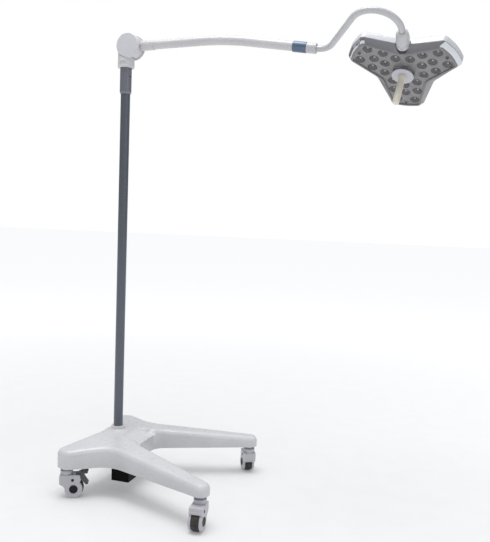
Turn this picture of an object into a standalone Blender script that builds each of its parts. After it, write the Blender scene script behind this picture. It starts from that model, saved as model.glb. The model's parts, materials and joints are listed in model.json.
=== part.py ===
"""Mobile surgical light: a wheeled base, a pole, a tilting arm, an S-shaped neck and a three-lobed lamp head.

Frame: metres, +Z up, +X from the pole towards the front of the base, origin on the floor under the pole.
"""
import math

import bmesh
import bpy
from mathutils import Matrix, Vector

GAP = 0.0003                       # clearance between pieces that touch
WELD = 2e-6                        # points this close are one point
SMALLEST_CORNER = 0.004            # radius left on a corner when its outline is moved in

# Casters
WHEEL_R = 0.0375
TYRE_WIDTH = 0.028
TYRE_SIDES = 24                    # flats around the tread; one rests on the floor
TYRE_INNER_R = 0.028
TRAIL = 0.030                      # wheel axle behind the swivel axis
FORK_WIDTH = 0.050
FORK_SLOT = 0.032
FORK_TOP = 0.110
FORK_COLLAR_R = 0.024
STEM_R = 0.006
PEDAL_PIVOT = (0.047, 0.090)       # along the trail, height
CASTERS = {                        # stem position, trailing direction in degrees, has a brake
    "front_right": ((0.495, -0.295), -86.0, False),
    "front_left": ((0.495, 0.295), 119.0, False),
    "rear_right": ((-0.095, -0.240), 25.0, True),
    "rear_left": ((-0.095, 0.240), 160.0, True),
}

# Base
BASE_BOTTOM = 0.1223
COVER_WALL = 0.004
CREST_AT_POLE = 0.220
CREST_FALL = 0.092                 # loss of height for each metre from the pole
SHOULDER = ((0.0, 0.020), (0.0030, 0.0110), (0.0085, 0.0045), (0.0160, 0.0012), (0.0240, 0.0))
PAN_THICKNESS = 0.003
CHASSIS_THICKNESS = 0.018
PANEL = ((0.052, 0.056), (0.175, 0.086))   # x and half width of the sloping front panel's ends
PANEL_HEIGHTS = (0.2100, 0.1790)
COLLAR_TOP = 0.234
COLLAR_R = 0.029
COLLAR_FOOT_R = 0.040

# Power box under the base
BOX_MIN = (0.052, -0.145, 0.054)
BOX_MAX = (0.128, -0.072, 0.122)
SOCKET_Z = 0.088                   # middle of the mains inlet and the switch

# Pole
POLE_R = 0.019
POLE_BORE_R = 0.017
POLE_BOTTOM = 0.147
POLE_TOP = 1.677
SLEEVE_R = 0.0235
SLEEVE_BOTTOM = 1.614
SLEEVE_TOP = 1.7365
SLEEVE_SCREW_Z = 1.701
SCREW_WAY = Vector((0.97, -0.24, 0.0))     # the way the sleeve's set screw faces
STUB_BOTTOM = 1.719
STUB_R = 0.0335
JOURNAL_R = 0.012
JOURNAL_TOP = 1.754

# Knuckle: a drum on a horizontal axis along Y
KNUCKLE = Vector((0.020, 0.0, 1.804))
DRUM_R = 0.050
HUB_R = 0.047
CHEEK_INNER = 0.022
CHEEK_OUTER = 0.026
CAP_OUTER = 0.036
CAP_FACE_R = 0.0460
BOLT_R = 0.008

# Arm: a straight, a gentle bend and a straight, in the plane of the arm
ARM_R = 0.018
ARM_BORE_R = 0.0164
ARM_SLOPE_START = math.radians(1.6)
ARM_SLOPE_END = math.radians(-8.0)
ARM_STRAIGHT = 0.300
ARM_BEND_LENGTH = 0.210
ARM_LENGTH = 0.772
RING_START = 0.681
RING_END = 0.734
RING_R = 0.0205
END_SLEEVE_R = 0.0195

# Neck: runs out along the arm, bends up, runs straight, and bends back over towards the head
NECK_R = 0.0115
NECK_BORE_R = 0.0095
NECK_ROLL = math.radians(63.4)     # roll of the neck's plane from upright, about the arm's end
NECK_LEAD = 0.003
NECK_BEND_R = (0.0686, 0.0915)
NECK_BEND = (math.radians(60.0), math.radians(146.0))
NECK_STRAIGHT = 0.1635
NECK_TAIL = 0.016
HUB_END = 0.072                    # neck tube's end to the far end of the hub ring
HUB_RING = 0.0345                  # length of the hub ring and its shoulder

# Head: lobes at 0, 120 and 240 degrees about the head's centre, in the head's own frame
HEAD_CENTRE = 0.1715               # from the neck tube's end to the head's centre, along the turn axis
FACE_Z = -0.026
SEAM_Z = -0.003
DOME = ((0.0, 0.017), (0.003, 0.0225), (0.010, 0.0265), (0.030, 0.0300))
LOBE_BULGE = 0.010                 # how far a lobe's end bows out beyond its corners
HEAD_OUTLINE = (0.202, 0.062, 0.121, 0.020, 0.050)  # lobe corners' reach and half width, reach between, radii
FACE_OUTLINE = (0.190, 0.0530, 0.0965, 0.014, 0.040)
HEAD_WALL = 0.003
BEZEL_FRAME = 0.007
SPINE_HALF = 0.021                 # half width of the bracket inside the head
WELL_R = 0.040
COLUMN_R = 0.014
DISC_R = 0.040
LED_SPOTS = (                      # along the lobe, across the lobe
    (0.161, -0.0325), (0.161, 0.0325), (0.120, 0.0), (0.106, -0.045),
    (0.106, 0.045), (0.076, 0.0), (0.056, -0.045), (0.056, 0.045),
)
LENS_R = 0.0170
HANDLE_Z = -0.044                  # underside of the guard disc
HANDLE_LENGTH = 0.118


# ---------------------------------------------------------------- helpers

def clear_scene():
    for obj in list(bpy.data.objects):
        bpy.data.objects.remove(obj, do_unlink=True)


def material(name, colour, roughness, metallic=0.0, alpha=1.0):
    mat = bpy.data.materials.new(name)
    mat.use_nodes = True
    shader = mat.node_tree.nodes["Principled BSDF"]
    shader.inputs["Base Color"].default_value = (*colour, 1.0)
    shader.inputs["Roughness"].default_value = roughness
    shader.inputs["Metallic"].default_value = metallic
    shader.inputs["Alpha"].default_value = alpha
    return mat


def white(name):
    return material(name, (0.80, 0.80, 0.84), 0.35)


def steel(name):
    return material(name, (0.60, 0.62, 0.65), 0.30, 1.0)


def black(name):
    return material(name, (0.015, 0.015, 0.018), 0.45)


def place(obj, parent=None, matrix=None):
    """Link an object under its parent; matrix is its local placement."""
    bpy.context.scene.collection.objects.link(obj)
    if parent is not None:
        obj.parent = parent
    obj.matrix_basis = matrix if matrix is not None else Matrix()
    return obj


def empty(name, parent=None, matrix=None):
    obj = bpy.data.objects.new(name, None)
    obj.empty_display_size = 0.05
    return place(obj, parent, matrix)


def part(name, bm, mat, parent=None, matrix=None, sharp=35.0):
    """Turn a bmesh into a named object, with its normals pointing out."""
    bmesh.ops.remove_doubles(bm, verts=bm.verts, dist=WELD)
    bmesh.ops.recalc_face_normals(bm, faces=bm.faces)
    mesh = bpy.data.meshes.new(name)
    bm.to_mesh(mesh)
    bm.free()
    mesh.materials.append(mat)
    mesh.shade_smooth()
    mesh.set_sharp_from_angle(angle=math.radians(sharp))
    return place(bpy.data.objects.new(name, mesh), parent, matrix)


def lathe(profile, segments=24, closed=False, phase=0.0):
    """Turn a profile of (radius, height) points about Z. A closed profile makes a ring."""
    bm = bmesh.new()
    rings = []
    for radius, height in profile:
        if radius < 1e-9:
            rings.append([bm.verts.new((0.0, 0.0, height))])
            continue
        ring = []
        for k in range(segments):
            turn = math.tau * (k + phase) / segments
            ring.append(bm.verts.new((radius * math.cos(turn), radius * math.sin(turn), height)))
        rings.append(ring)
    pairs = list(zip(rings, rings[1:]))
    if closed:
        pairs.append((rings[-1], rings[0]))
    for low, high in pairs:
        for k in range(segments):
            n = (k + 1) % segments
            corners = [low[k % len(low)], low[n % len(low)], high[n % len(high)], high[k % len(high)]]
            distinct = list(dict.fromkeys(corners))
            if len(distinct) > 2:
                bm.faces.new(distinct)
    return bm


def solid_of_revolution(profile, segments=24):
    """A turned solid whose profile starts and ends on the axis."""
    return lathe([(0.0, profile[0][1])] + list(profile) + [(0.0, profile[-1][1])], segments)


def ring_of_revolution(inner, outer, low, high, chamfer=0.0, segments=24):
    c = chamfer
    profile = [(inner, low), (outer - c, low), (outer, low + c), (outer, high - c), (outer - c, high),
               (inner, high)]
    if c == 0.0:
        profile = [(inner, low), (outer, low), (outer, high), (inner, high)]
    return lathe(profile, segments, closed=True)


def prism(outline, low, high):
    """Extrude a flat outline of (x, y) points from z = low to z = high."""
    bm = bmesh.new()
    bottom = [bm.verts.new((x, y, low)) for x, y in outline]
    top = [bm.verts.new((x, y, high)) for x, y in outline]
    count = len(outline)
    for k in range(count):
        n = (k + 1) % count
        bm.faces.new((bottom[k], bottom[n], top[n], top[k]))
    bm.faces.new(list(reversed(bottom)))
    bm.faces.new(top)
    bm.normal_update()
    return bm


def block(low, high, bevel=0.0):
    """A box between two corners, with its edges rounded by one chamfer."""
    bm = bmesh.new()
    bmesh.ops.create_cube(bm, size=1.0)
    for vert in bm.verts:
        vert.co = Vector(low[i] + (vert.co[i] + 0.5) * (high[i] - low[i]) for i in range(3))
    if bevel:
        bmesh.ops.bevel(bm, geom=bm.edges[:], offset=bevel, segments=2, profile=0.5, affect="EDGES")
    return bm


def sweep(path, radius, sides=16, bore=0.0):
    """A tube along a path of points, hollow when it has a bore."""
    bm = bmesh.new()
    points = [Vector(p) for p in path]
    tangents = []
    for k in range(len(points)):
        ahead = points[min(k + 1, len(points) - 1)]
        behind = points[max(k - 1, 0)]
        tangents.append((ahead - behind).normalized())
    normal = tangents[0].orthogonal().normalized()
    outer, inner = [], []
    for point, tangent in zip(points, tangents):
        normal = (normal - tangent * normal.dot(tangent)).normalized()
        side = tangent.cross(normal)
        for size, rings in ((radius, outer), (bore, inner)):
            ring = []
            for k in range(sides if size else 0):
                turn = math.tau * k / sides
                offset = (normal * math.cos(turn) + side * math.sin(turn)) * size
                ring.append(bm.verts.new(point + offset))
            rings.append(ring)

    def skin(first, second):
        for k in range(sides):
            n = (k + 1) % sides
            bm.faces.new((first[k], first[n], second[n], second[k]))

    for low, high in zip(outer, outer[1:]):
        skin(low, high)
    if bore:
        for low, high in zip(inner, inner[1:]):
            skin(low, high)
        skin(outer[0], inner[0])
        skin(outer[-1], inner[-1])
    else:
        bm.faces.new(outer[0])
        bm.faces.new(outer[-1])
    return bm


def moved_in(points, distance):
    """Move each side of a counter-clockwise outline inwards by a distance, keeping its corners."""
    moved = []
    count = len(points)
    for k, point in enumerate(points):
        back = (point - points[k - 1]).normalized()
        ahead = (points[(k + 1) % count] - point).normalized()
        normal = Vector((-back.y, back.x))
        bisector = (normal + Vector((-ahead.y, ahead.x))).normalized()
        moved.append(point + bisector * (distance / bisector.dot(normal)))
    return moved


def rounded(corners, inset=0.0, steps=4):
    """Closed outline from (x, y, radius) corners, moved in by a distance, each corner rounded by an arc."""
    points = moved_in([Vector((x, y)) for x, y, _ in corners], inset)
    outline = []
    count = len(corners)
    for k, corner in enumerate(points):
        back = corner - points[k - 1]
        ahead = points[(k + 1) % count] - corner
        hollow = back.x * ahead.y - back.y * ahead.x < 0
        radius = max(corners[k][2] + (inset if hollow else -inset), SMALLEST_CORNER)
        half = (-back).angle(ahead) / 2
        start = corner - back.normalized() * radius / math.tan(half)
        end = corner + ahead.normalized() * radius / math.tan(half)
        centre = corner + (ahead.normalized() - back.normalized()).normalized() * radius / math.sin(half)
        first, last = start - centre, end - centre
        turn = math.atan2(first.x * last.y - first.y * last.x, first.dot(last))
        for i in range(steps + 1):
            outline.append(centre + Matrix.Rotation(turn * i / steps, 2) @ first)
    return outline


def loft(rings, fan_low=True, fan_high=True):
    """Join rings of equally many 3-D points; the end rings are closed with triangles."""
    bm = bmesh.new()
    layers = [[bm.verts.new(p) for p in ring] for ring in rings]
    count = len(layers[0])
    for low, high in zip(layers, layers[1:]):
        for k in range(count):
            n = (k + 1) % count
            bm.faces.new((low[k], low[n], high[n], high[k]))
    ends = []
    if fan_low:
        ends.append(bm.faces.new(list(reversed(layers[0]))))
    if fan_high:
        ends.append(bm.faces.new(layers[-1]))
    bm.normal_update()
    bmesh.ops.triangulate(bm, faces=ends, ngon_method="EAR_CLIP")
    return bm


def combine(target, tool_bm, operation, matrix=None):
    """Apply one Boolean to an object, with a tool that is deleted afterwards."""
    tool = part("tool", tool_bm, target.data.materials[0], target.parent, matrix)
    modifier = target.modifiers.new("shape", "BOOLEAN")
    modifier.operation = operation
    modifier.solver = "EXACT"
    modifier.object = tool
    bpy.context.view_layer.update()
    depsgraph = bpy.context.evaluated_depsgraph_get()
    mesh = bpy.data.meshes.new_from_object(target.evaluated_get(depsgraph))
    welded = bmesh.new()
    welded.from_mesh(mesh)
    bmesh.ops.remove_doubles(welded, verts=welded.verts, dist=WELD)
    welded.to_mesh(mesh)
    welded.free()
    target.modifiers.clear()
    target.data = mesh
    mesh.name = target.name
    mesh.shade_smooth()
    mesh.set_sharp_from_angle(angle=math.radians(35.0))
    bpy.data.objects.remove(tool, do_unlink=True)
    return target


def cut(target, tool_bm, matrix=None):
    return combine(target, tool_bm, "DIFFERENCE", matrix)


def join(target, tool_bm, matrix=None):
    return combine(target, tool_bm, "UNION", matrix)


def frame_matrix(origin, x_axis, z_axis):
    """A placement from its origin, its X axis and its Z axis."""
    x_axis = Vector(x_axis).normalized()
    z_axis = Vector(z_axis).normalized()
    y_axis = z_axis.cross(x_axis)
    matrix = Matrix((x_axis, y_axis, z_axis)).transposed().to_4x4()
    matrix.translation = Vector(origin)
    return matrix


ABOUT_Y = Matrix.Rotation(math.radians(-90.0), 4, "X")     # turns a lathe's Z axis to +Y
ABOUT_X = Matrix.Rotation(math.radians(90.0), 4, "Y")      # turns a lathe's Z axis to +X


# ---------------------------------------------------------------- casters

def fork_outline():
    """Side view of a caster housing: (along the trail, height) points, counter-clockwise."""
    cheek_r = 0.0345
    outline = []
    for k in range(12):
        turn = math.radians(-185.0 + 235.0 * k / 11)
        outline.append((TRAIL + cheek_r * math.cos(turn), WHEEL_R + cheek_r * math.sin(turn)))
    outline += [(0.0570, 0.0700), (0.0570, 0.0880), (0.0520, 0.0930), (-0.0210, 0.0930), (-0.0260, 0.0880),
                (-0.0260, 0.0610), (-0.0120, 0.0500)]
    return outline


def caster(name, stem_xy, trail_angle, braked):
    swivel = empty("swivel_" + name, None, Matrix.Translation((*stem_xy, 0.0))
                   @ Matrix.Rotation(math.radians(trail_angle), 4, "Z"))
    upright = Matrix.Rotation(math.radians(90.0), 4, "X")

    nut = BASE_BOTTOM + 0.0215
    stem_profile = [(STEM_R, 0.0815), (STEM_R, 0.1030), (0.017, 0.1030), (0.017, 0.1110), (0.012, 0.1130),
                    (0.012, BASE_BOTTOM - GAP), (STEM_R, BASE_BOTTOM - GAP), (STEM_R, nut), (0.010, nut),
                    (0.010, nut + 0.0092)]
    part("caster_stem_" + name, solid_of_revolution(stem_profile, 10), steel("zinc_" + name),
         empty("socket_" + name, None, Matrix.Translation((*stem_xy, 0.0))))

    fork = part("caster_fork_" + name, prism(fork_outline(), -FORK_WIDTH / 2, FORK_WIDTH / 2),
                white("fork_" + name), swivel, upright)
    fork.data.transform(upright)
    fork.matrix_basis = Matrix()
    slot = [(-0.0115, -0.01), (TRAIL + 0.05, -0.01), (TRAIL + 0.05, 0.0625)]
    slot += [(TRAIL + 0.041 * math.cos(math.radians(a)), WHEEL_R + 0.041 * math.sin(math.radians(a)))
             for a in (37, 61, 85, 109, 133, 157, 181)]
    cut(fork, prism(slot, -FORK_SLOT / 2, FORK_SLOT / 2), upright)
    join(fork, ring_of_revolution(0.0184, FORK_COLLAR_R, 0.0925, FORK_TOP, 0.0, 16))
    cut(fork, solid_of_revolution([(STEM_R + 0.0008, 0.07), (STEM_R + 0.0008, 0.1020), (0.0184, 0.1020),
                                   (0.0184, 0.12)], 16))
    axle_place = Matrix.Translation((TRAIL, 0.0, WHEEL_R)) @ ABOUT_Y
    cut(fork, solid_of_revolution([(0.0043, -0.03), (0.0043, 0.03)], 14), axle_place)
    if braked:
        room = PEDAL_PIVOT[0] - 0.0105
        cut(fork, block((room, -0.0160, 0.055), (0.08, 0.0160, 0.12)))

    roll = empty("roll_" + name, swivel, axle_place)
    half = TYRE_WIDTH / 2
    hub_half = half - 0.0005
    part("caster_wheel_" + name,
         lathe([(0.0043, -0.0152), (0.0110, -0.0152), (TYRE_INNER_R - GAP, -hub_half),
                (TYRE_INNER_R - GAP, hub_half), (0.0110, 0.0152), (0.0043, 0.0152)], 16, closed=True),
         material("wheel_" + name, (0.55, 0.56, 0.60), 0.4), roll)
    tread = WHEEL_R / math.cos(math.pi / TYRE_SIDES)
    part("caster_tyre_" + name,
         lathe([(TYRE_INNER_R, -half), (tread - 0.0045, -half), (tread, -half + 0.006), (tread, half - 0.006),
                (tread - 0.0045, half), (TYRE_INNER_R, half)], TYRE_SIDES, closed=True, phase=0.5),
         material("tyre_" + name, (0.045, 0.035, 0.035), 0.65), roll)
    face = FORK_WIDTH / 2 + GAP
    part("caster_axle_" + name,
         solid_of_revolution([(0.0150, -face - 0.0026), (0.0165, -face), (0.0040, -face), (0.0040, face),
                              (0.0165, face), (0.0150, face + 0.0026)], 14),
         black("axle_cap_" + name), swivel, axle_place)
    if braked:
        pedal(name, swivel)


def pedal(name, swivel):
    """Brake pedal with an upper tab to press and a lower tab to release."""
    pivot = empty("brake_" + name, swivel, Matrix.Translation((PEDAL_PIVOT[0], 0.0, PEDAL_PIVOT[1])))
    outline = [(-0.007, -0.003), (-0.003, -0.008), (0.006, -0.006), (0.025, -0.033), (0.033, -0.038),
               (0.039, -0.033), (0.014, 0.002), (0.016, 0.004), (0.035, 0.007), (0.038, 0.012),
               (0.035, 0.017), (0.011, 0.014), (0.000, 0.009), (-0.006, 0.005)]
    upright = Matrix.Rotation(math.radians(90.0), 4, "X")
    body = part("brake_pedal_" + name, prism(outline, -0.0155, 0.0155),
                material("pedal_" + name, (0.10, 0.12, 0.13), 0.5), pivot)
    body.data.transform(upright)


# ---------------------------------------------------------------- base

def base_corners():
    """Corners of the base in plan, counter-clockwise, with their rounding radii."""
    side = []
    rear, front = Vector((-0.095, -0.240)), Vector((0.495, -0.295))
    rear_way, front_way = Vector((-0.368, -0.930)), Vector((0.923, -0.385))
    side.append((-0.062, -0.046, 0.055))
    for stem, way, half, reach, order in ((rear, rear_way, 0.034, 0.034, (-1, 1)),
                                          (front, front_way, 0.031, 0.033, (-1, 1))):
        across = Vector((-way.y, way.x))
        for sign in order:
            corner = stem + way * reach + across * half * sign
            side.append((corner.x, corner.y, half * 0.92))
        if stem is rear:
            side.append((0.064, -0.182, 0.110))
    side.append((0.132, -0.088, 0.060))
    other = [(x, -y, r) for x, y, r in reversed(side)]
    return side + other


def crest(x, y):
    """Height of the cover's top surface over a point of the plan."""
    return CREST_AT_POLE - CREST_FALL * math.hypot(x, y)


def cover_shell(inset, drop, bottom):
    """Body under a crowned top that lies a given drop below the crest, moved in from the base's outline."""
    corners = base_corners()
    rings = [[(p.x, p.y, bottom) for p in rounded(corners, inset)]]
    for distance, fall in SHOULDER:
        ring = rounded(corners, inset + distance)
        rings.append([(p.x, p.y, crest(p.x, p.y) - fall - drop) for p in ring])
    return loft(rings)


def panel_tool(margin, drop):
    """Wedge that leaves the sloping panel between the front legs' ridges."""
    (x0, half0), (x1, half1) = PANEL
    z0, z1 = PANEL_HEIGHTS
    run = [(x0 - margin, half0 + margin, z0 - drop), (x1, half1 + margin, z1 - drop)]
    bm = bmesh.new()
    verts = []
    for x, half, z in run:
        for y in (-half, half):
            verts.append(bm.verts.new((x, y, z)))
    top = [bm.verts.new((v.co.x, v.co.y, 0.30)) for v in verts]
    a, b, c, d = verts
    e, f, g, h = top
    for face in ((a, b, d, c), (e, g, h, f), (a, e, f, b), (c, d, h, g), (a, c, g, e), (b, f, h, d)):
        bm.faces.new(face)
    return bm


def base():
    corners = base_corners()
    cover = part("base_cover", cover_shell(0.0, 0.0, BASE_BOTTOM), white("cover"))
    cut(cover, panel_tool(0.0, 0.0))
    hollow = part("hollow", cover_shell(COVER_WALL, COVER_WALL, BASE_BOTTOM - 0.01), white("hollow"))
    cut(hollow, panel_tool(COVER_WALL, COVER_WALL))
    room = bmesh.new()
    room.from_mesh(hollow.data)
    bpy.data.objects.remove(hollow, do_unlink=True)
    cut(cover, room)
    cut(cover, solid_of_revolution([(COLLAR_FOOT_R + GAP, 0.147), (COLLAR_FOOT_R + GAP, 0.30)], 32))

    pan_top = BASE_BOTTOM + PAN_THICKNESS
    pan = part("base_pan", prism(rounded(corners, COVER_WALL + GAP), BASE_BOTTOM, pan_top),
               material("pan", (0.55, 0.56, 0.58), 0.5))
    chassis_low = pan_top + GAP
    chassis_top = chassis_low + CHASSIS_THICKNESS
    chassis = part("base_chassis", prism(rounded(corners, 0.011), chassis_low, chassis_top),
                   material("chassis", (0.08, 0.08, 0.09), 0.6, 0.6))
    for (x, y), _, _ in CASTERS.values():
        bore = [(STEM_R + GAP, BASE_BOTTOM - 0.01), (STEM_R + GAP, chassis_top + 0.01)]
        for plate in (pan, chassis):
            cut(plate, solid_of_revolution(bore, 12), Matrix.Translation((x, y, 0.0)))

    flange_low = chassis_top + GAP
    part("pole_socket",
         lathe([(POLE_R + GAP, flange_low), (0.038, flange_low), (0.038, flange_low + 0.007),
                (0.025, flange_low + 0.010), (0.025, COLLAR_TOP - 0.035), (POLE_R + GAP, COLLAR_TOP - 0.035)],
               20, closed=True),
         steel("socket"))
    part("pole_collar",
         lathe([(0.0253, 0.172), (COLLAR_FOOT_R, 0.172), (COLLAR_FOOT_R, 0.213), (0.0345, 0.2165),
                (0.0310, 0.221), (COLLAR_R, 0.227), (COLLAR_R, COLLAR_TOP), (POLE_R + GAP, COLLAR_TOP),
                (POLE_R + GAP, COLLAR_TOP - 0.0345), (0.0253, COLLAR_TOP - 0.0345)], 20, closed=True),
         white("collar"))


def power_supply():
    """Mains box under the base, with an inlet and a rocker switch on its rear side."""
    body = part("power_box", block(BOX_MIN, BOX_MAX, 0.004), black("box"))
    rear, inlet_y, switch_y = BOX_MIN[0], -0.122, -0.088
    cut(body, block((rear - 0.01, inlet_y - 0.0143, SOCKET_Z - 0.0113),
                    (rear + 0.016, inlet_y + 0.0143, SOCKET_Z + 0.0113)))
    cut(body, block((rear - 0.01, switch_y - 0.0073, SOCKET_Z - 0.0103),
                    (rear + 0.012, switch_y + 0.0073, SOCKET_Z + 0.0103)))
    socket = part("mains_inlet", block((rear - 0.0015, inlet_y - 0.014, SOCKET_Z - 0.011),
                                       (rear + 0.0155, inlet_y + 0.014, SOCKET_Z + 0.011)), black("inlet"))
    cut(socket, block((rear - 0.01, inlet_y - 0.0115, SOCKET_Z - 0.008),
                      (rear + 0.0125, inlet_y + 0.0115, SOCKET_Z + 0.008)))
    for offset in (-0.007, 0.0, 0.007):
        y = inlet_y + offset
        join(socket, block((rear + 0.001, y - 0.001, SOCKET_Z - 0.002),
                           (rear + 0.0130, y + 0.001, SOCKET_Z + 0.002)))
    axis = empty("switch_axis", None, Matrix.Translation((rear + 0.003, switch_y, SOCKET_Z)))
    rocker = [(0.003, -0.0085), (0.003, 0.0085), (-0.0062, 0.0085), (-0.0042, 0.0), (-0.0050, -0.0085)]
    key = part("power_switch", prism(rocker, -0.0065, 0.0065), black("rocker"), axis)
    key.data.transform(Matrix.Rotation(math.radians(90.0), 4, "X"))


# ---------------------------------------------------------------- pole

def pole():
    part("pole_tube", ring_of_revolution(POLE_BORE_R, POLE_R, POLE_BOTTOM, POLE_TOP, 0.0, 20),
         material("pole", (0.16, 0.18, 0.20), 0.38, 0.6))
    sleeve = part("pole_sleeve",
                  lathe([(POLE_R + GAP, SLEEVE_BOTTOM), (SLEEVE_R - 0.003, SLEEVE_BOTTOM),
                         (SLEEVE_R, SLEEVE_BOTTOM + 0.009), (SLEEVE_R, SLEEVE_TOP),
                         (POLE_R + GAP, SLEEVE_TOP)], 20, closed=True),
                  material("sleeve", (0.16, 0.18, 0.20), 0.38, 0.6))
    screw_place = frame_matrix((0.0, 0.0, SLEEVE_SCREW_Z), (0.0, 0.0, -1.0), SCREW_WAY)
    cut(sleeve, solid_of_revolution([(0.0033, 0.015), (0.0033, 0.03)], 12), screw_place)
    part("sleeve_screw", solid_of_revolution([(0.0030, 0.0196), (0.0030, 0.0236)], 12), steel("screw"),
         None, screw_place)
    part("swivel_spindle",
         solid_of_revolution([(POLE_BORE_R - GAP, POLE_TOP - 0.060), (POLE_BORE_R - GAP, POLE_TOP + 0.0004),
                              (POLE_R, POLE_TOP + 0.0004), (POLE_R, SLEEVE_TOP), (JOURNAL_R, SLEEVE_TOP),
                              (JOURNAL_R, JOURNAL_TOP - 0.001), (JOURNAL_R - 0.001, JOURNAL_TOP)], 20),
         steel("spindle"))


# ---------------------------------------------------------------- knuckle and arm

def arch_tool(side):
    """Flat on the stub's side, with a rounded top."""
    half, foot = 0.0185, STUB_BOTTOM - 0.005 - KNUCKLE.z
    spring = STUB_BOTTOM + 0.007 - KNUCKLE.z
    outline = [(-half - KNUCKLE.x, foot), (half - KNUCKLE.x, foot)]
    outline += [(half * math.cos(math.pi * k / 10) - KNUCKLE.x, spring + half * math.sin(math.pi * k / 10))
                for k in range(11)]
    bm = prism(outline, 0.0283, 0.040)
    bmesh.ops.transform(bm, matrix=Matrix.Rotation(math.radians(90.0), 4, "X"), verts=bm.verts)
    if side > 0:
        bmesh.ops.scale(bm, vec=(1.0, -1.0, 1.0), verts=bm.verts)
        bmesh.ops.reverse_faces(bm, faces=bm.faces)
    return bm


def drum_room():
    """Side view of the room for the arm's hub, open to the front from above the arm down to the stub."""
    radius, clear = HUB_R + 0.0008, 0.085
    first, last = math.radians(72.0), math.radians(270.0)
    turns = [first + (last - first) * k / 18 for k in range(19)]
    outline = [(radius * math.cos(turn), radius * math.sin(turn)) for turn in turns]
    return outline + [(clear, -radius), (clear, clear), (clear * math.cos(first), clear)]


def knuckle():
    turn = empty("arm_swivel_axis", None, Matrix.Translation((0.0, 0.0, KNUCKLE.z)))
    drum = Matrix.Translation((KNUCKLE.x, 0.0, 0.0))
    centre = empty("knuckle_centre", turn, drum)

    yoke = part("knuckle_yoke",
                solid_of_revolution([(STUB_R - 0.001, STUB_BOTTOM - KNUCKLE.z),
                                     (STUB_R, STUB_BOTTOM + 0.001 - KNUCKLE.z), (STUB_R, -0.012)], 32),
                white("yoke"), centre, Matrix.Translation((-KNUCKLE.x, 0.0, 0.0)))
    yoke.data.transform(Matrix.Translation((-KNUCKLE.x, 0.0, 0.0)))
    yoke.matrix_basis = Matrix()
    blank = CHEEK_OUTER + 0.0005
    join(yoke, solid_of_revolution([(DRUM_R, -blank), (DRUM_R, blank)], 30), ABOUT_Y)
    for low, high in ((-0.045, -CHEEK_OUTER), (CHEEK_OUTER, 0.045)):
        cut(yoke, solid_of_revolution([(DRUM_R + GAP, low), (DRUM_R + GAP, high)], 30), ABOUT_Y)
    cut(yoke, prism(drum_room(), -CHEEK_INNER, CHEEK_INNER), Matrix.Rotation(math.radians(90.0), 4, "X"))
    axis_here = Matrix.Translation((-KNUCKLE.x, 0.0, -KNUCKLE.z))
    cut(yoke, solid_of_revolution([(SLEEVE_R + GAP, STUB_BOTTOM - 0.01), (SLEEVE_R + GAP, SLEEVE_TOP + GAP),
                                   (JOURNAL_R + GAP, SLEEVE_TOP + GAP), (JOURNAL_R + GAP, KNUCKLE.z)], 28),
        axis_here)
    cut(yoke, solid_of_revolution([(BOLT_R + GAP, -0.05), (BOLT_R + GAP, 0.05)], 20), ABOUT_Y)
    for side in (-1, 1):
        cut(yoke, arch_tool(side))

    for name, sign in (("front", -1), ("rear", 1)):
        facing = ABOUT_Y if sign > 0 else Matrix.Rotation(math.radians(90.0), 4, "X")
        inner = CHEEK_OUTER + GAP
        part("knuckle_cap_" + name,
             solid_of_revolution([(0.0160, 0.0340), (0.0160, inner), (DRUM_R - 0.0003, inner),
                                  (DRUM_R - 0.0003, inner + 0.0012), (CAP_FACE_R, CAP_OUTER)], 30),
             white("cap_" + name), centre, facing)
        part("friction_disc_" + name, ring_of_revolution(0.0095, 0.034, 0.0195, CHEEK_INNER - GAP, 0.0, 20),
             material("friction_" + name, (0.30, 0.22, 0.14), 0.8), centre, facing)

    head_low, head_high = CHEEK_OUTER + GAP, 0.0325
    part("hinge_bolt", solid_of_revolution([(0.0130, -head_high), (0.0130, -head_low), (BOLT_R, -head_low),
                                                   (BOLT_R, head_low), (0.0130, head_low),
                                                   (0.0130, head_high)], 12),
                steel("bolt"), centre, ABOUT_Y)
    return centre


def arm_point(distance):
    """Point and slope of the arm's centreline, a distance from the hinge, in the arm's plane."""
    steps = 40
    x = z = 0.0
    slope = ARM_SLOPE_START
    step = distance / steps
    for k in range(steps):
        middle = (k + 0.5) * step
        bent = min(max((middle - ARM_STRAIGHT) / ARM_BEND_LENGTH, 0.0), 1.0)
        slope = ARM_SLOPE_START + (ARM_SLOPE_END - ARM_SLOPE_START) * bent
        x += math.cos(slope) * step
        z += math.sin(slope) * step
    return Vector((x, 0.0, z)), slope


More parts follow.
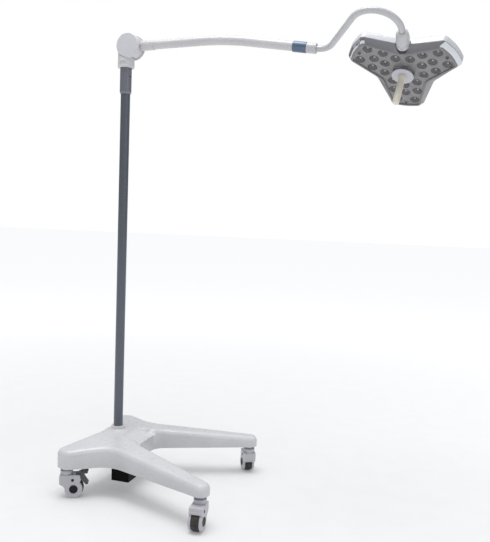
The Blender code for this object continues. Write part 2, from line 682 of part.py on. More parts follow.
def arm(centre):
    tilt = empty("arm_tilt_axis", centre, Matrix())
    root = frame_matrix((0.0, 0.0, 0.0), (0.0, 1.0, 0.0),
                        (math.cos(ARM_SLOPE_START), 0.0, math.sin(ARM_SLOPE_START)))
    half = 0.0192
    hub = part("arm_hub",
               lathe([(BOLT_R + GAP, -half), (HUB_R, -half), (HUB_R, half), (0.038, half), (0.038, -0.006),
                      (0.018, -0.006), (0.018, half), (BOLT_R + GAP, half)], 28, closed=True),
               white("hub"), tilt, ABOUT_Y)
    hub.data.transform(ABOUT_Y)
    hub.matrix_basis = Matrix()
    join(hub, solid_of_revolution([(0.0160, 0.0425), (0.0160, 0.090)], 20), root)

    turns, steps = 3.25, 12
    coil = []
    for k in range(int(turns * steps) + 1):
        turn = math.tau * k / steps
        coil.append((0.028 * math.cos(turn), -0.0025 + 0.0160 * k / (turns * steps), 0.028 * math.sin(turn)))
    part("balance_spring", sweep(coil, 0.0019, 5), steel("spring"), centre)

    stations = [0.0505, ARM_STRAIGHT]
    stations += [ARM_STRAIGHT + ARM_BEND_LENGTH * k / 6 for k in range(1, 7)]
    stations += [RING_START]
    part("arm_tube", sweep([arm_point(s)[0] for s in stations], ARM_R, 16, ARM_BORE_R), white("arm"), tilt)
    part("arm_collar", lathe([(ARM_R + GAP, 0.0508), (0.0190, 0.0508), (0.0202, 0.0522), (0.0202, 0.1035),
                              (0.0194, 0.1050), (ARM_R + GAP, 0.1050)], 20, closed=True),
         white("arm_collar"), tilt, root)

    end, slope = arm_point(ARM_LENGTH)
    along = Vector((math.cos(slope), 0.0, math.sin(slope)))
    ring_place = frame_matrix(end, (0.0, 1.0, 0.0), along)
    low, high = RING_START - ARM_LENGTH + GAP, RING_END - ARM_LENGTH
    part("joint_ring", ring_of_revolution(0.0124, RING_R, low, high, 0.001, 20),
         material("ring", (0.06, 0.12, 0.19), 0.4, 0.2), tilt, ring_place)
    return tilt, end, along


# ---------------------------------------------------------------- neck

def neck_path():
    """Centreline of the neck in its own plane: X along the arm's end, Z towards the first bend."""
    points = [(-0.032, 0.0), (0.0, 0.0), (NECK_LEAD, 0.0)]
    heading = 0.0

    def ahead(length):
        x, z = points[-1]
        points.append((x + length * math.cos(heading), z + length * math.sin(heading)))

    for radius, bend, steps, sign in ((NECK_BEND_R[0], NECK_BEND[0], 5, 1),
                                      (NECK_BEND_R[1], NECK_BEND[1], 11, -1)):
        for _ in range(steps):
            heading += sign * bend / steps / 2
            ahead(2 * radius * math.sin(bend / steps / 2))
            heading += sign * bend / steps / 2
        if sign == 1:
            ahead(NECK_STRAIGHT)
    ahead(NECK_TAIL)
    return [Vector((x, 0.0, z)) for x, z in points], heading


def neck(tilt, end, along):
    plane = frame_matrix(end, along, Vector((-along.z, 0.0, along.x)))
    roll = empty("neck_roll_axis", tilt, plane @ Matrix.Rotation(NECK_ROLL, 4, "X"))
    path, heading = neck_path()
    part("neck_tube", sweep(path, NECK_R, 10, NECK_BORE_R), white("neck"), roll)
    low = RING_END - ARM_LENGTH + GAP
    part("end_sleeve", lathe([(NECK_R + GAP, low), (END_SLEEVE_R, low), (END_SLEEVE_R, -0.0015),
                              (END_SLEEVE_R - 0.0015, 0.0), (NECK_R + GAP, 0.0)], 20, closed=True),
         white("end_sleeve"), roll, ABOUT_X)
    part("neck_spindle",
         solid_of_revolution([(0.0120, -0.140), (0.0120, -0.118), (0.0158, -0.118), (0.0158, -0.0915),
                              (0.0120, -0.0915), (0.0120, -0.0385), (0.0088, -0.0385), (0.0088, 0.0)], 20),
         steel("neck_spindle"), roll, ABOUT_X)
    way = Vector((math.cos(heading), 0.0, math.sin(heading)))
    hub = frame_matrix(path[-1], way, (0.0, 1.0, 0.0))
    tube = empty("neck_end", roll, hub)
    part("hub_sleeve",
         lathe([(0.0118, -0.0120), (0.0150, -0.0120), (0.0205, -0.0050), (0.0225, 0.0050),
                (0.0250, 0.0280), (0.0250, HUB_END - HUB_RING), (0.0095, HUB_END - HUB_RING),
                (0.0095, 0.0006), (0.0118, 0.0006)], 20, closed=True),
         white("hub_sleeve"), tube, ABOUT_X)
    return roll, hub


# ---------------------------------------------------------------- head

def star(shape, inset=0.0):
    """Three-lobed outline with bowed lobe ends, counter-clockwise, moved in by a distance."""
    reach, half, between, tip_radius, valley_radius = shape
    corners = []
    for lobe in range(3):
        turn = math.tau * lobe / 3
        for along, across, radius in ((reach, -half, tip_radius), (reach + LOBE_BULGE, 0.0, 0.16),
                                      (reach, half, tip_radius)):
            corners.append((along * math.cos(turn) - across * math.sin(turn),
                            along * math.sin(turn) + across * math.cos(turn), radius))
        valley = turn + math.pi / 3
        corners.append((between * math.cos(valley), between * math.sin(valley), valley_radius))
    return rounded(corners, inset, 3)


def at_height(outline, z):
    return [(p.x, p.y, z) for p in outline]


def head(roll, hub):
    turn = empty("head_turn_axis", roll, hub @ Matrix.Translation((HEAD_CENTRE, 0.0, 0.0)))
    neck_side = -HEAD_CENTRE + HUB_END

    def dome(wall):
        return [at_height(star(HEAD_OUTLINE, d + wall), z - wall) for d, z in DOME]

    shell = part("head_housing", loft([at_height(star(HEAD_OUTLINE), SEAM_Z)] + dome(0.0)),
                 white("housing"), turn)
    cut(shell, loft([at_height(star(HEAD_OUTLINE, HEAD_WALL), SEAM_Z - 0.005)] + dome(HEAD_WALL)))
    recess = Matrix.Translation((neck_side - HUB_RING, 0.0, 0.0)) @ ABOUT_X
    cut(shell, solid_of_revolution([(0.0262, -0.05), (0.0262, HUB_RING + 0.0006)], 28), recess)

    bezel = part("head_bezel",
                 loft([at_height(star(FACE_OUTLINE), FACE_Z),
                       at_height(star(HEAD_OUTLINE, 0.0006), SEAM_Z - 0.004),
                       at_height(star(HEAD_OUTLINE, 0.0006), SEAM_Z - GAP)]),
                 material("bezel", (0.45, 0.47, 0.50), 0.35, 0.3), turn)
    inner = star(FACE_OUTLINE, BEZEL_FRAME)
    cut(bezel, loft([at_height(inner, FACE_Z - 0.01), at_height(inner, SEAM_Z + 0.01)]))
    cut(bezel, solid_of_revolution([(0.0262, -0.05), (0.0262, HUB_RING + 0.0006)], 28), recess)
    bracket_room = SPINE_HALF + GAP
    cut(bezel, block((-0.130, -bracket_room, -0.0095), (-0.080, bracket_room, 0.01)))

    plate = star(FACE_OUTLINE, BEZEL_FRAME + GAP)
    lens_low, board_low = FACE_Z + 0.0012, -0.0105
    cover = part("lens_cover", loft([at_height(plate, lens_low), at_height(plate, lens_low + 0.003)]),
                 material("lens_cover", (0.55, 0.57, 0.60), 0.1, 0.0, 0.45), turn)
    cut(cover, solid_of_revolution([(WELL_R, -0.1), (WELL_R, 0.1)], 32))
    board = part("led_board", prism(plate, board_low, board_low + 0.0016),
                 material("board", (0.75, 0.76, 0.74), 0.5), turn)
    column_room = [(COLUMN_R + GAP, -0.1), (COLUMN_R + GAP, 0.1)]
    cut(board, solid_of_revolution(column_room, 20))
    lens_plate(turn, board_low - GAP, lens_low + 0.003 + GAP)
    spine(turn, neck_side, board_low + 0.0016 + GAP)
    handle(turn)

    part("hub_ring", lathe([(0.0095, GAP), (0.0245, GAP), (0.0245, 0.0200), (0.0225, 0.0230),
                            (0.0095, 0.0230)], 24, closed=True),
         steel("hub_ring"), turn, recess)


def lens_plate(turn, top, clear):
    """One moulding that carries a collimating lens over each LED."""
    carrier = 0.0016
    outline = star(FACE_OUTLINE, BEZEL_FRAME + 0.002)
    plate = part("lens_plate", prism(outline, top - carrier, top),
                 material("lenses", (0.30, 0.31, 0.33), 0.15), turn)
    cut(plate, solid_of_revolution([(COLUMN_R + GAP, -0.1), (COLUMN_R + GAP, 0.1)], 20))
    low = clear - top + carrier
    cup = [(0.0110, 0.0008), (LENS_R, low)]
    cups = bmesh.new()
    for lobe in range(3):
        swing = Matrix.Rotation(math.tau * lobe / 3, 4, "Z")
        for along, across in LED_SPOTS:
            spot = solid_of_revolution(cup, 8)
            bmesh.ops.transform(spot, matrix=swing @ Matrix.Translation((along, across, top - carrier)),
                                verts=spot.verts)
            mesh = bpy.data.meshes.new("cup")
            spot.to_mesh(mesh)
            spot.free()
            cups.from_mesh(mesh)
            bpy.data.meshes.remove(mesh)
    join(plate, cups)


def spine(turn, neck_side, low):
    """Aluminium bracket that carries the head from its turning spindle."""
    high = 0.0120
    bracket = part("head_bracket", block((neck_side - 0.010, -SPINE_HALF, low), (0.026, SPINE_HALF, high)),
                   material("bracket", (0.65, 0.66, 0.68), 0.4, 1.0), turn)
    join(bracket, solid_of_revolution([(0.0092, -HUB_RING - 0.020), (0.0092, 0.002)], 20),
         Matrix.Translation((neck_side, 0.0, 0.0)) @ ABOUT_X)
    cut(bracket, solid_of_revolution([(COLUMN_R + GAP, -0.1), (COLUMN_R + GAP, 0.008)], 20))


def handle(turn):
    disc_top = HANDLE_Z + 0.005
    part("handle_column", lathe([(0.0095, disc_top + GAP), (COLUMN_R, disc_top + GAP), (COLUMN_R, 0.0076),
                                 (0.0095, 0.0076)], 20, closed=True),
         material("column", (0.70, 0.71, 0.73), 0.35), turn)
    part("handle_disc", lathe([(0.0095, HANDLE_Z), (DISC_R - 0.002, HANDLE_Z), (DISC_R, HANDLE_Z + 0.002),
                               (DISC_R - 0.001, disc_top), (0.0095, disc_top)], 24, closed=True),
         material("disc", (0.74, 0.75, 0.78), 0.4), turn)
    tip = HANDLE_Z - HANDLE_LENGTH + 0.012
    part("handle_core", solid_of_revolution([(0.0070, tip), (0.0092, tip + 0.002), (0.0092, 0.0060)], 20),
         steel("core"), turn)
    grip = HANDLE_Z - GAP
    foot = HANDLE_Z - HANDLE_LENGTH
    part("sterile_handle",
         lathe([(0.0, foot), (0.0090, foot), (0.0120, foot + 0.003), (0.0128, foot + 0.020),
                (0.0122, grip - 0.022), (0.0150, grip - 0.012), (0.0155, grip - 0.002), (0.0145, grip),
                (0.0098, grip), (0.0098, foot + 0.009), (0.0, foot + 0.009)], 18),
         material("handle", (0.78, 0.74, 0.63), 0.5), empty("handle_axis", turn, Matrix()))


def build():
    clear_scene()
    for name, (stem_xy, trail_angle, braked) in CASTERS.items():
        caster(name, stem_xy, trail_angle, braked)
    base()
    power_supply()
    pole()
    centre = knuckle()
    tilt, end, along = arm(centre)
    roll, hub = neck(tilt, end, along)
    head(roll, hub)


build()
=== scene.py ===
import json
import math

import bmesh
import bpy
from mathutils import Matrix, Vector
from mathutils.geometry import delaunay_2d_cdt


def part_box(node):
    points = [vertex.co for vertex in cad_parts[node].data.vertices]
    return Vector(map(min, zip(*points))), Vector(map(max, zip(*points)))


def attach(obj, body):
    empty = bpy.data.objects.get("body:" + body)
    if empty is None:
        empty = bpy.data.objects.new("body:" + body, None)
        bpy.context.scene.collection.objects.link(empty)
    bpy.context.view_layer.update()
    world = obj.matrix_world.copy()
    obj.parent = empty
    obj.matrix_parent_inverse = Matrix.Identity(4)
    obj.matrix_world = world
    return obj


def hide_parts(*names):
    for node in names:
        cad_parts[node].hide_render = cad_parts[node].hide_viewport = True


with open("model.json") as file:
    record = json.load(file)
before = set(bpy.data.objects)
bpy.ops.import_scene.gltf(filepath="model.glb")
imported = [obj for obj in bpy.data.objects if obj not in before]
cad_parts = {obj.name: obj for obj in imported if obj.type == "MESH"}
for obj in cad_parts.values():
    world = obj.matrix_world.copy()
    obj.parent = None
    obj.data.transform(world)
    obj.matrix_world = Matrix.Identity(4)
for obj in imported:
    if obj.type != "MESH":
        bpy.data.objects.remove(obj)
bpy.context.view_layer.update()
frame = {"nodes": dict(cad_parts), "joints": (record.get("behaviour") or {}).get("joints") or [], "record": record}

JOINTS = {joint["name"]: joint for joint in frame["joints"]}
SLOTS = {part["node"]: part["material_slot"] for part in frame["record"]["subparts"]}
CASTERS = ("front_right", "front_left", "rear_right", "rear_left")
BRAKED = ("rear_right", "rear_left")

ABOUT_Y = Matrix.Rotation(math.radians(-90.0), 4, "X")     # turns a lathe's Z axis to +Y
ABOUT_MINUS_Y = Matrix.Rotation(math.radians(90.0), 4, "X")
ABOUT_X = Matrix.Rotation(math.radians(90.0), 4, "Y")      # turns a lathe's Z axis to +X

# Base cover
COVER_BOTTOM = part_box("base_cover")[0].z
CREST_AT_POLE = 0.220
CREST_FALL = 0.092                 # loss of height for each metre from the pole
SHOULDER_WIDTH = 0.022
SHOULDER_FALL = 0.016
SHOULDER_RINGS = (0.0, 0.0006, 0.0015, 0.003, 0.005, 0.0075, 0.011, 0.016, 0.022)
TOP_GRID = 0.0045                  # spacing of the cover's top points near the panel
PANEL_BACK, PANEL_FRONT = (0.052, 0.056), (0.175, 0.086)   # x and half width of the sloping panel's ends
PANEL_HEIGHTS = (0.2065, 0.1750)
PANEL_WALL_SLOPE = 2.2

# Arm, as distances from the hinge along its centreline
ARM_SLOPES = (math.radians(1.6), math.radians(-8.0))
ARM_STRAIGHT = 0.300
ARM_BEND = 0.210
ARM_LENGTH = 0.772
ARM_R = 0.018
RING_SPAN = (0.681, 0.734)

# Lamp head, in the head's own frame
FACE_Z = -0.026
SEAM_Z = -0.003
LOBE_BULGE = 0.010                 # how far a lobe's end bows out beyond its corners
HEAD_OUTLINE = (0.202, 0.062, 0.121, 0.020, 0.050)  # lobe corners' reach and half width, reach between, radii
FACE_OUTLINE = (0.190, 0.0530, 0.0965, 0.014, 0.040)
BEZEL_FRAME = 0.007
WELL_R = 0.040
MASK_Z = -0.0206                   # grey mask behind the clear cover
LENS_R = 0.0182
LED_SPOTS = (                      # along the lobe, across the lobe
    (0.161, -0.0325), (0.161, 0.0325), (0.120, 0.0), (0.106, -0.045),
    (0.106, 0.045), (0.076, 0.0), (0.056, -0.045), (0.056, 0.045),
)
HANDLE_Z = -0.044
HANDLE_LENGTH = 0.118


# ---------------------------------------------------------------- frames from the CAD's joints

def axes(origin, x_axis, z_axis):
    x_axis = Vector(x_axis).normalized()
    z_axis = (Vector(z_axis) - x_axis * Vector(z_axis).dot(x_axis)).normalized()
    matrix = Matrix((x_axis, z_axis.cross(x_axis), z_axis)).transposed().to_4x4()
    matrix.translation = Vector(origin)
    return matrix


def caster_frame(name):
    """The caster's swivel axis on the floor, with X along the trail."""
    stem = Vector(JOINTS[name + "_swivel"]["pos_m"])
    hub = Vector(JOINTS[name + "_roll"]["pos_m"])
    stem.z = 0.0
    return axes(stem, (hub.x - stem.x, hub.y - stem.y, 0.0), (0.0, 0.0, 1.0))


KNUCKLE = Matrix.Translation(JOINTS["arm_tilt"]["pos_m"])
HEAD = axes(JOINTS["head_turn"]["pos_m"], JOINTS["head_turn"]["axis"], -Vector(JOINTS["handle_pull"]["axis"]))
HEAD_CENTRE = 0.1715               # from the neck tube's end to the head's centre
HUB_END = 0.072                    # from the neck tube's end to the far end of the hub ring
HUB_RING = 0.0345
NECK_END = HEAD @ Matrix.Translation((-HEAD_CENTRE, 0.0, 0.0))
ARM_END = Vector(JOINTS["neck_roll"]["pos_m"])
NECK = axes(ARM_END, JOINTS["neck_roll"]["axis"], NECK_END.translation - ARM_END)
TRAIL = caster_frame("rear_left").inverted() @ Vector(JOINTS["rear_left_roll"]["pos_m"])


# ---------------------------------------------------------------- materials

class Graph:
    """Adds shader nodes to one material."""

    def __init__(self, name):
        self.material = bpy.data.materials.new(name)
        self.material.use_nodes = True
        self.tree = self.material.node_tree
        self.shader = self.tree.nodes["Principled BSDF"]
        self.place = self.add("ShaderNodeTexCoord").outputs["Object"]

    def add(self, kind, **settings):
        node = self.tree.nodes.new(kind)
        for key, value in settings.items():
            setattr(node, key, value)
        return node

    def link(self, output, target):
        self.tree.links.new(output, target)

    def stretched(self, stretch):
        mapping = self.add("ShaderNodeMapping")
        mapping.inputs["Scale"].default_value = stretch
        self.link(self.place, mapping.inputs["Vector"])
        return mapping.outputs["Vector"]

    def noise(self, scale, detail=3.0, stretch=None):
        noise = self.add("ShaderNodeTexNoise")
        noise.inputs["Scale"].default_value = scale
        noise.inputs["Detail"].default_value = detail
        self.link(self.stretched(stretch) if stretch else self.place, noise.inputs["Vector"])
        return noise.outputs["Fac"]

    def ramp(self, value, low, high, start=0.35, end=0.65):
        ramp = self.add("ShaderNodeValToRGB")
        ramp.color_ramp.elements[0].position = start
        ramp.color_ramp.elements[1].position = end
        ramp.color_ramp.elements[0].color = (*low, 1.0)
        ramp.color_ramp.elements[1].color = (*high, 1.0)
        self.link(value, ramp.inputs["Fac"])
        return ramp.outputs["Color"]

    def spread(self, value, low, high):
        spread = self.add("ShaderNodeMapRange")
        spread.inputs["From Min"].default_value = 0.3
        spread.inputs["From Max"].default_value = 0.7
        spread.inputs["To Min"].default_value = low
        spread.inputs["To Max"].default_value = high
        self.link(value, spread.inputs["Value"])
        return spread.outputs["Result"]

    def bump(self, value, strength, distance=0.00012):
        bump = self.add("ShaderNodeBump")
        bump.inputs["Strength"].default_value = strength
        bump.inputs["Distance"].default_value = distance
        self.link(value, bump.inputs["Height"])
        self.link(bump.outputs["Normal"], self.shader.inputs["Normal"])

    def set(self, **values):
        for key, value in values.items():
            self.shader.inputs[key.replace("_", " ")].default_value = value


def tinted(colour, factor):
    return tuple(min(c * factor, 1.0) for c in colour)


def surface(name, colour, roughness, metallic=0.0, grain=900.0, depth=0.06, vary=0.03, coat=0.0, stretch=None,
            gloss=0.5):
    """A surface with a faint drift of colour, uneven gloss and a fine grain."""
    graph = Graph(name)
    drift = graph.noise(9.0, 4.0)
    graph.link(graph.ramp(drift, tinted(colour, 1.0 - vary), tinted(colour, 1.0 + vary)),
               graph.shader.inputs["Base Color"])
    graph.link(graph.spread(graph.noise(60.0, 5.0, stretch), roughness * 0.85, roughness * 1.2),
               graph.shader.inputs["Roughness"])
    graph.bump(graph.noise(grain, 2.0, stretch), depth)
    graph.set(Metallic=metallic, Coat_Weight=coat, Coat_Roughness=0.32, Specular_IOR_Level=gloss)
    return graph


def tyre_rubber():
    graph = surface("tyre_rubber", (0.032, 0.026, 0.025), 0.62, grain=1400.0, depth=0.25, vary=0.2)
    dust = graph.noise(160.0, 6.0)
    graph.link(graph.ramp(dust, (0.026, 0.021, 0.020), (0.075, 0.066, 0.060), 0.45, 0.85),
               graph.shader.inputs["Base Color"])
    return graph


def pole_paint():
    """Blue-grey metallic paint with fine flakes."""
    graph = surface("pole_paint", (0.120, 0.135, 0.160), 0.36, 0.5, grain=2200.0, depth=0.10, coat=0.25)
    flakes = graph.add("ShaderNodeTexVoronoi")
    flakes.inputs["Scale"].default_value = 1800.0
    graph.link(graph.place, flakes.inputs["Vector"])
    graph.link(graph.ramp(flakes.outputs["Distance"], (0.150, 0.166, 0.192), (0.105, 0.120, 0.145), 0.1, 0.6),
               graph.shader.inputs["Base Color"])
    return graph


def cast_iron():
    return surface("cast_iron", (0.045, 0.045, 0.05), 0.62, 0.3, grain=260.0, depth=0.5, vary=0.25)


def galvanised():
    graph = surface("galvanised_sheet", (0.50, 0.52, 0.54), 0.45, 0.8, depth=0.05)
    spangle = graph.add("ShaderNodeTexVoronoi")
    spangle.inputs["Scale"].default_value = 70.0
    graph.link(graph.place, spangle.inputs["Vector"])
    graph.link(graph.ramp(spangle.outputs["Color"], (0.44, 0.46, 0.48), (0.58, 0.60, 0.62), 0.2, 0.8),
               graph.shader.inputs["Base Color"])
    return graph


def clear_acrylic():
    """Clear cover with a light grey tint, a polished face and soft moulding waves."""
    graph = surface("clear_acrylic", (0.30, 0.30, 0.31), 0.06, grain=35.0, depth=0.02, vary=0.03, coat=0.3)
    graph.set(Alpha=0.16, IOR=1.45)
    return graph


TURNED = dict(metallic=1.0, grain=500.0, depth=0.08, stretch=(1.0, 1.0, 14.0))  # fine rings of tool marks
SURFACES = {                       # slot or finish: name, colour, roughness, and the rest of surface()
    "base_cover": ("cover_plastic", (0.62, 0.625, 0.635), 0.30, dict(grain=55.0, depth=0.03, coat=0.35)),
    "collar": ("collar_plastic", (0.62, 0.625, 0.635), 0.30, dict(grain=70.0, depth=0.03, coat=0.3)),
    "zinc": ("zinc_plate", (0.60, 0.68, 0.74), 0.24, TURNED),
    "fork": ("fork_nylon", (0.52, 0.51, 0.55), 0.36, dict(grain=1200.0, depth=0.08)),
    "wheel_core": ("wheel_plastic", (0.52, 0.53, 0.57), 0.42, dict(grain=1200.0, depth=0.1)),
    "axle_cap": ("cap_plastic", (0.008, 0.008, 0.012), 0.38,
                 dict(grain=1500.0, depth=0.1, vary=0.15, gloss=0.25)),
    "pedal": ("pedal_nylon", (0.070, 0.078, 0.082), 0.42, dict(grain=900.0, depth=0.25, vary=0.12)),
    "black_plastic": ("black_texture", (0.003, 0.003, 0.0035), 0.50,
                      dict(grain=1500.0, depth=0.35, gloss=0.08)),
    # Sleeve: a lighter copy of the pole's blue-grey paint, standing in for the light on the sleeve: painted light.
    "sleeve_painted_light": ("sleeve_painted_light", (0.19, 0.20, 0.23), 0.34,
                     dict(metallic=0.4, grain=1800.0, depth=0.08, coat=0.2)),
    "steel": ("turned_steel", (0.58, 0.60, 0.62), 0.28, TURNED),
    "spring_steel": ("spring_wire", (0.30, 0.31, 0.33), 0.30, TURNED),
    "friction": ("friction_lining", (0.26, 0.19, 0.12), 0.8, dict(grain=500.0, depth=0.6, vary=0.25)),
    "arm_paint": ("arm_powder_coat", (0.58, 0.57, 0.585), 0.27, dict(grain=80.0, depth=0.03, coat=0.3)),
    "knuckle_paint": ("yoke_powder_coat", (0.63, 0.64, 0.645), 0.32, dict(grain=90.0, depth=0.04)),
    "knuckle_cap": ("knuckle_plastic", (0.63, 0.63, 0.665), 0.36, dict(grain=90.0, depth=0.03)),
    "ring": ("ring_paint", (0.105, 0.150, 0.225), 0.34,
             dict(metallic=0.35, grain=1600.0, depth=0.08, coat=0.2)),
    "neck_paint": ("neck_powder_coat", (0.52, 0.525, 0.54), 0.27, dict(grain=80.0, depth=0.03, coat=0.3)),
    "hub_metal": ("hub_steel", (0.62, 0.63, 0.66), 0.25, TURNED),
    "housing": ("housing_plastic", (0.60, 0.595, 0.64), 0.20, dict(grain=60.0, depth=0.03, coat=0.5)),
    "bezel": ("bezel_silver", (0.205, 0.205, 0.215), 0.32,
              dict(metallic=0.2, grain=1500.0, depth=0.05, coat=0.3)),
    "lens_plate": ("mask_plastic", (0.34, 0.33, 0.335), 0.42, dict(grain=1200.0, depth=0.06)),
    "board": ("board_mask", (0.72, 0.73, 0.71), 0.4, dict(grain=800.0, depth=0.1)),
    "bracket": ("machined_aluminium", (0.62, 0.63, 0.65), 0.32, TURNED),
    "column": ("column_satin", (0.46, 0.46, 0.48), 0.35, dict(metallic=0.5, grain=900.0, depth=0.08)),
    "disc": ("disc_plastic", (0.52, 0.53, 0.575), 0.30, dict(grain=900.0, depth=0.05, coat=0.2)),
    "handle": ("handle_plastic", (0.70, 0.665, 0.565), 0.42, dict(grain=1000.0, depth=0.14, vary=0.06)),
    "dark_screw": ("dark_screw", (0.075, 0.075, 0.08), 0.38, dict(metallic=0.4, grain=1500.0, depth=0.1)),
    "edge_chrome": ("edge_chrome", (0.62, 0.65, 0.67), 0.10,
                    dict(metallic=0.95, grain=90.0, depth=0.7, vary=0.08)),
    "reflector": ("reflector", (0.030, 0.027, 0.030), 0.20,
                  dict(metallic=0.3, grain=420.0, depth=0.8, vary=0.4, coat=0.6)),
    "led_phosphor": ("led_phosphor", (0.72, 0.70, 0.66), 0.25, dict(grain=2000.0, depth=0.3)),
}
SPECIAL = {
    "base_pan": galvanised,
    "chassis": cast_iron,
    "tyre": tyre_rubber,
    "pole": pole_paint,
    "lens_cover": clear_acrylic,
}
made = {}


def look(name):
    if name not in made:
        if name in SPECIAL:
            graph = SPECIAL[name]()
        else:
            label, colour, roughness, details = SURFACES[name]
            graph = surface(label, colour, roughness, **details)
        made[name] = graph.material
    return made[name]


# ---------------------------------------------------------------- mesh helpers

def piece(name, bm, slot, body, nodes=(), place=None, finish=None, sharp=32.0, bevel=0.0):
    """Turn a bmesh into a piece that rides on a body, and hide the CAD nodes it stands for."""
    bmesh.ops.remove_doubles(bm, verts=bm.verts, dist=2e-6)
    bmesh.ops.recalc_face_normals(bm, faces=bm.faces)
    mesh = bpy.data.meshes.new(name)
    bm.to_mesh(mesh)
    bm.free()
    mesh.materials.append(look(finish or slot))
    if place is not None:
        mesh.transform(place)
    mesh.shade_smooth()
    mesh.set_sharp_from_angle(angle=math.radians(sharp))
    obj = bpy.data.objects.new(name, mesh)
    bpy.context.scene.collection.objects.link(obj)
    if bevel:
        soft = obj.modifiers.new("edges", "BEVEL")
        soft.width = bevel
        soft.segments = 3
        soft.limit_method = "ANGLE"
        soft.angle_limit = math.radians(40.0)
        soft.harden_normals = True
    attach(obj, body)
    if nodes:
        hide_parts(*nodes)
    return obj


def lathe(profile, segments=64, closed=False):
    """Turn a profile of (radius, height) points about Z. A closed profile makes a ring."""
    bm = bmesh.new()
    rings = []
    for radius, height in profile:
        if radius < 1e-9:
            rings.append([bm.verts.new((0.0, 0.0, height))])
            continue
        turns = [math.tau * k / segments for k in range(segments)]
        rings.append([bm.verts.new((radius * math.cos(t), radius * math.sin(t), height)) for t in turns])
    pairs = list(zip(rings, rings[1:]))
    if closed:
        pairs.append((rings[-1], rings[0]))
    for low, high in pairs:
        for k in range(segments):
            n = (k + 1) % segments
            corners = [low[k % len(low)], low[n % len(low)], high[n % len(high)], high[k % len(high)]]
            distinct = list(dict.fromkeys(corners))
            if len(distinct) > 2:
                bm.faces.new(distinct)
    return bm


def eased(profile, radius, closed=False, steps=4):
    """A profile with its corners rounded by a small arc."""
    points = [Vector(p) for p in profile]
    count = len(points)
    smooth = []
    for k, corner in enumerate(points):
        if not closed and k in (0, count - 1):
            smooth.append(corner)
            continue
        back, ahead = points[k - 1] - corner, points[(k + 1) % count] - corner
        reach = min(radius, back.length * 0.45, ahead.length * 0.45)
        first, last = corner + back.normalized() * reach, corner + ahead.normalized() * reach
        for i in range(steps + 1):
            t = i / steps
            smooth.append(first * (1 - t) ** 2 + corner * 2 * t * (1 - t) + last * t ** 2)
    return [(p.x, p.y) for p in smooth]


def ring(inner, outer, low, high, ease=0.0008, segments=64):
    profile = [(inner, low), (outer, low), (outer, high), (inner, high)]
    return lathe(eased(profile, ease, True), segments, True)


def turned_solid(profile, ease=0.0008, segments=64):
    ends = [(0.0, profile[0][1]), *profile, (0.0, profile[-1][1])]
    return lathe(eased(ends, ease), segments)


def moved_in(points, distance):
    moved = []
    count = len(points)
    for k, point in enumerate(points):
        back = (point - points[k - 1]).normalized()
        ahead = (points[(k + 1) % count] - point).normalized()
        normal = Vector((-back.y, back.x))
        bisector = (normal + Vector((-ahead.y, ahead.x))).normalized()
        moved.append(point + bisector * (distance / bisector.dot(normal)))
    return moved


def rounded(corners, inset=0.0, steps=10, between=0):
    """Closed outline from (x, y, radius) corners, moved in by a distance, with rounded corners.

    between adds that many points along each straight side."""
    points = moved_in([Vector((x, y)) for x, y, _ in corners], inset)
    outline = []
    starts = []
    count = len(corners)
    for k, corner in enumerate(points):
        back = corner - points[k - 1]
        ahead = points[(k + 1) % count] - corner
        hollow = back.x * ahead.y - back.y * ahead.x < 0
        radius = max(corners[k][2] + (inset if hollow else -inset), 0.004)
        half = (-back).angle(ahead) / 2
        start = corner - back.normalized() * radius / math.tan(half)
        centre = corner + (ahead.normalized() - back.normalized()).normalized() * radius / math.sin(half)
        first = start - centre
        last = corner + ahead.normalized() * radius / math.tan(half) - centre
        turn = math.atan2(first.x * last.y - first.y * last.x, first.dot(last))
        starts.append([centre + Matrix.Rotation(turn * i / steps, 2) @ first for i in range(steps + 1)])
    for k, arc in enumerate(starts):
        outline += arc
        following = starts[(k + 1) % count][0]
        outline += [arc[-1].lerp(following, (i + 1) / (between + 1)) for i in range(between)]
    return outline


def loft(rings, cap_low=True, cap_high=True, closed=False):
    bm = bmesh.new()
    layers = [[bm.verts.new(p) for p in points] for points in rings]
    count = len(layers[0])
    pairs = list(zip(layers, layers[1:]))
    if closed:
        pairs.append((layers[-1], layers[0]))
    for low, high in pairs:
        for k in range(count):
            n = (k + 1) % count
            bm.faces.new((low[k], low[n], high[n], high[k]))
    ends = []
    if cap_low and not closed:
        ends.append(bm.faces.new(list(reversed(layers[0]))))
    if cap_high and not closed:
        ends.append(bm.faces.new(layers[-1]))
    bm.normal_update()
    bmesh.ops.triangulate(bm, faces=ends)
    return bm


def prism(outline, low, high):
    return loft([[(x, y, low) for x, y in outline], [(x, y, high) for x, y in outline]])


def block(low, high):
    bm = bmesh.new()
    bmesh.ops.create_cube(bm, size=1.0)
    for vert in bm.verts:
        vert.co = Vector(low[i] + (vert.co[i] + 0.5) * (high[i] - low[i]) for i in range(3))
    return bm


def moved(bm, matrix):
    bmesh.ops.transform(bm, matrix=matrix, verts=bm.verts)
    return bm


def sweep(path, radius, sides=40):
    """A round tube along a path of points, with flat ends."""
    bm = bmesh.new()
    points = [Vector(p) for p in path]
    normal = None
    rings = []
    for k, point in enumerate(points):
        tangent = (points[min(k + 1, len(points) - 1)] - points[max(k - 1, 0)]).normalized()
        if normal is None:
            normal = tangent.orthogonal().normalized()
        normal = (normal - tangent * normal.dot(tangent)).normalized()
        side = tangent.cross(normal)
        turns = [math.tau * j / sides for j in range(sides)]
        rings.append([bm.verts.new(point + (normal * math.cos(t) + side * math.sin(t)) * radius)
                      for t in turns])
    for low, high in zip(rings, rings[1:]):
        for j in range(sides):
            n = (j + 1) % sides
            bm.faces.new((low[j], low[n], high[n], high[j]))
    bm.faces.new(rings[0])
    bm.faces.new(rings[-1])
    return bm


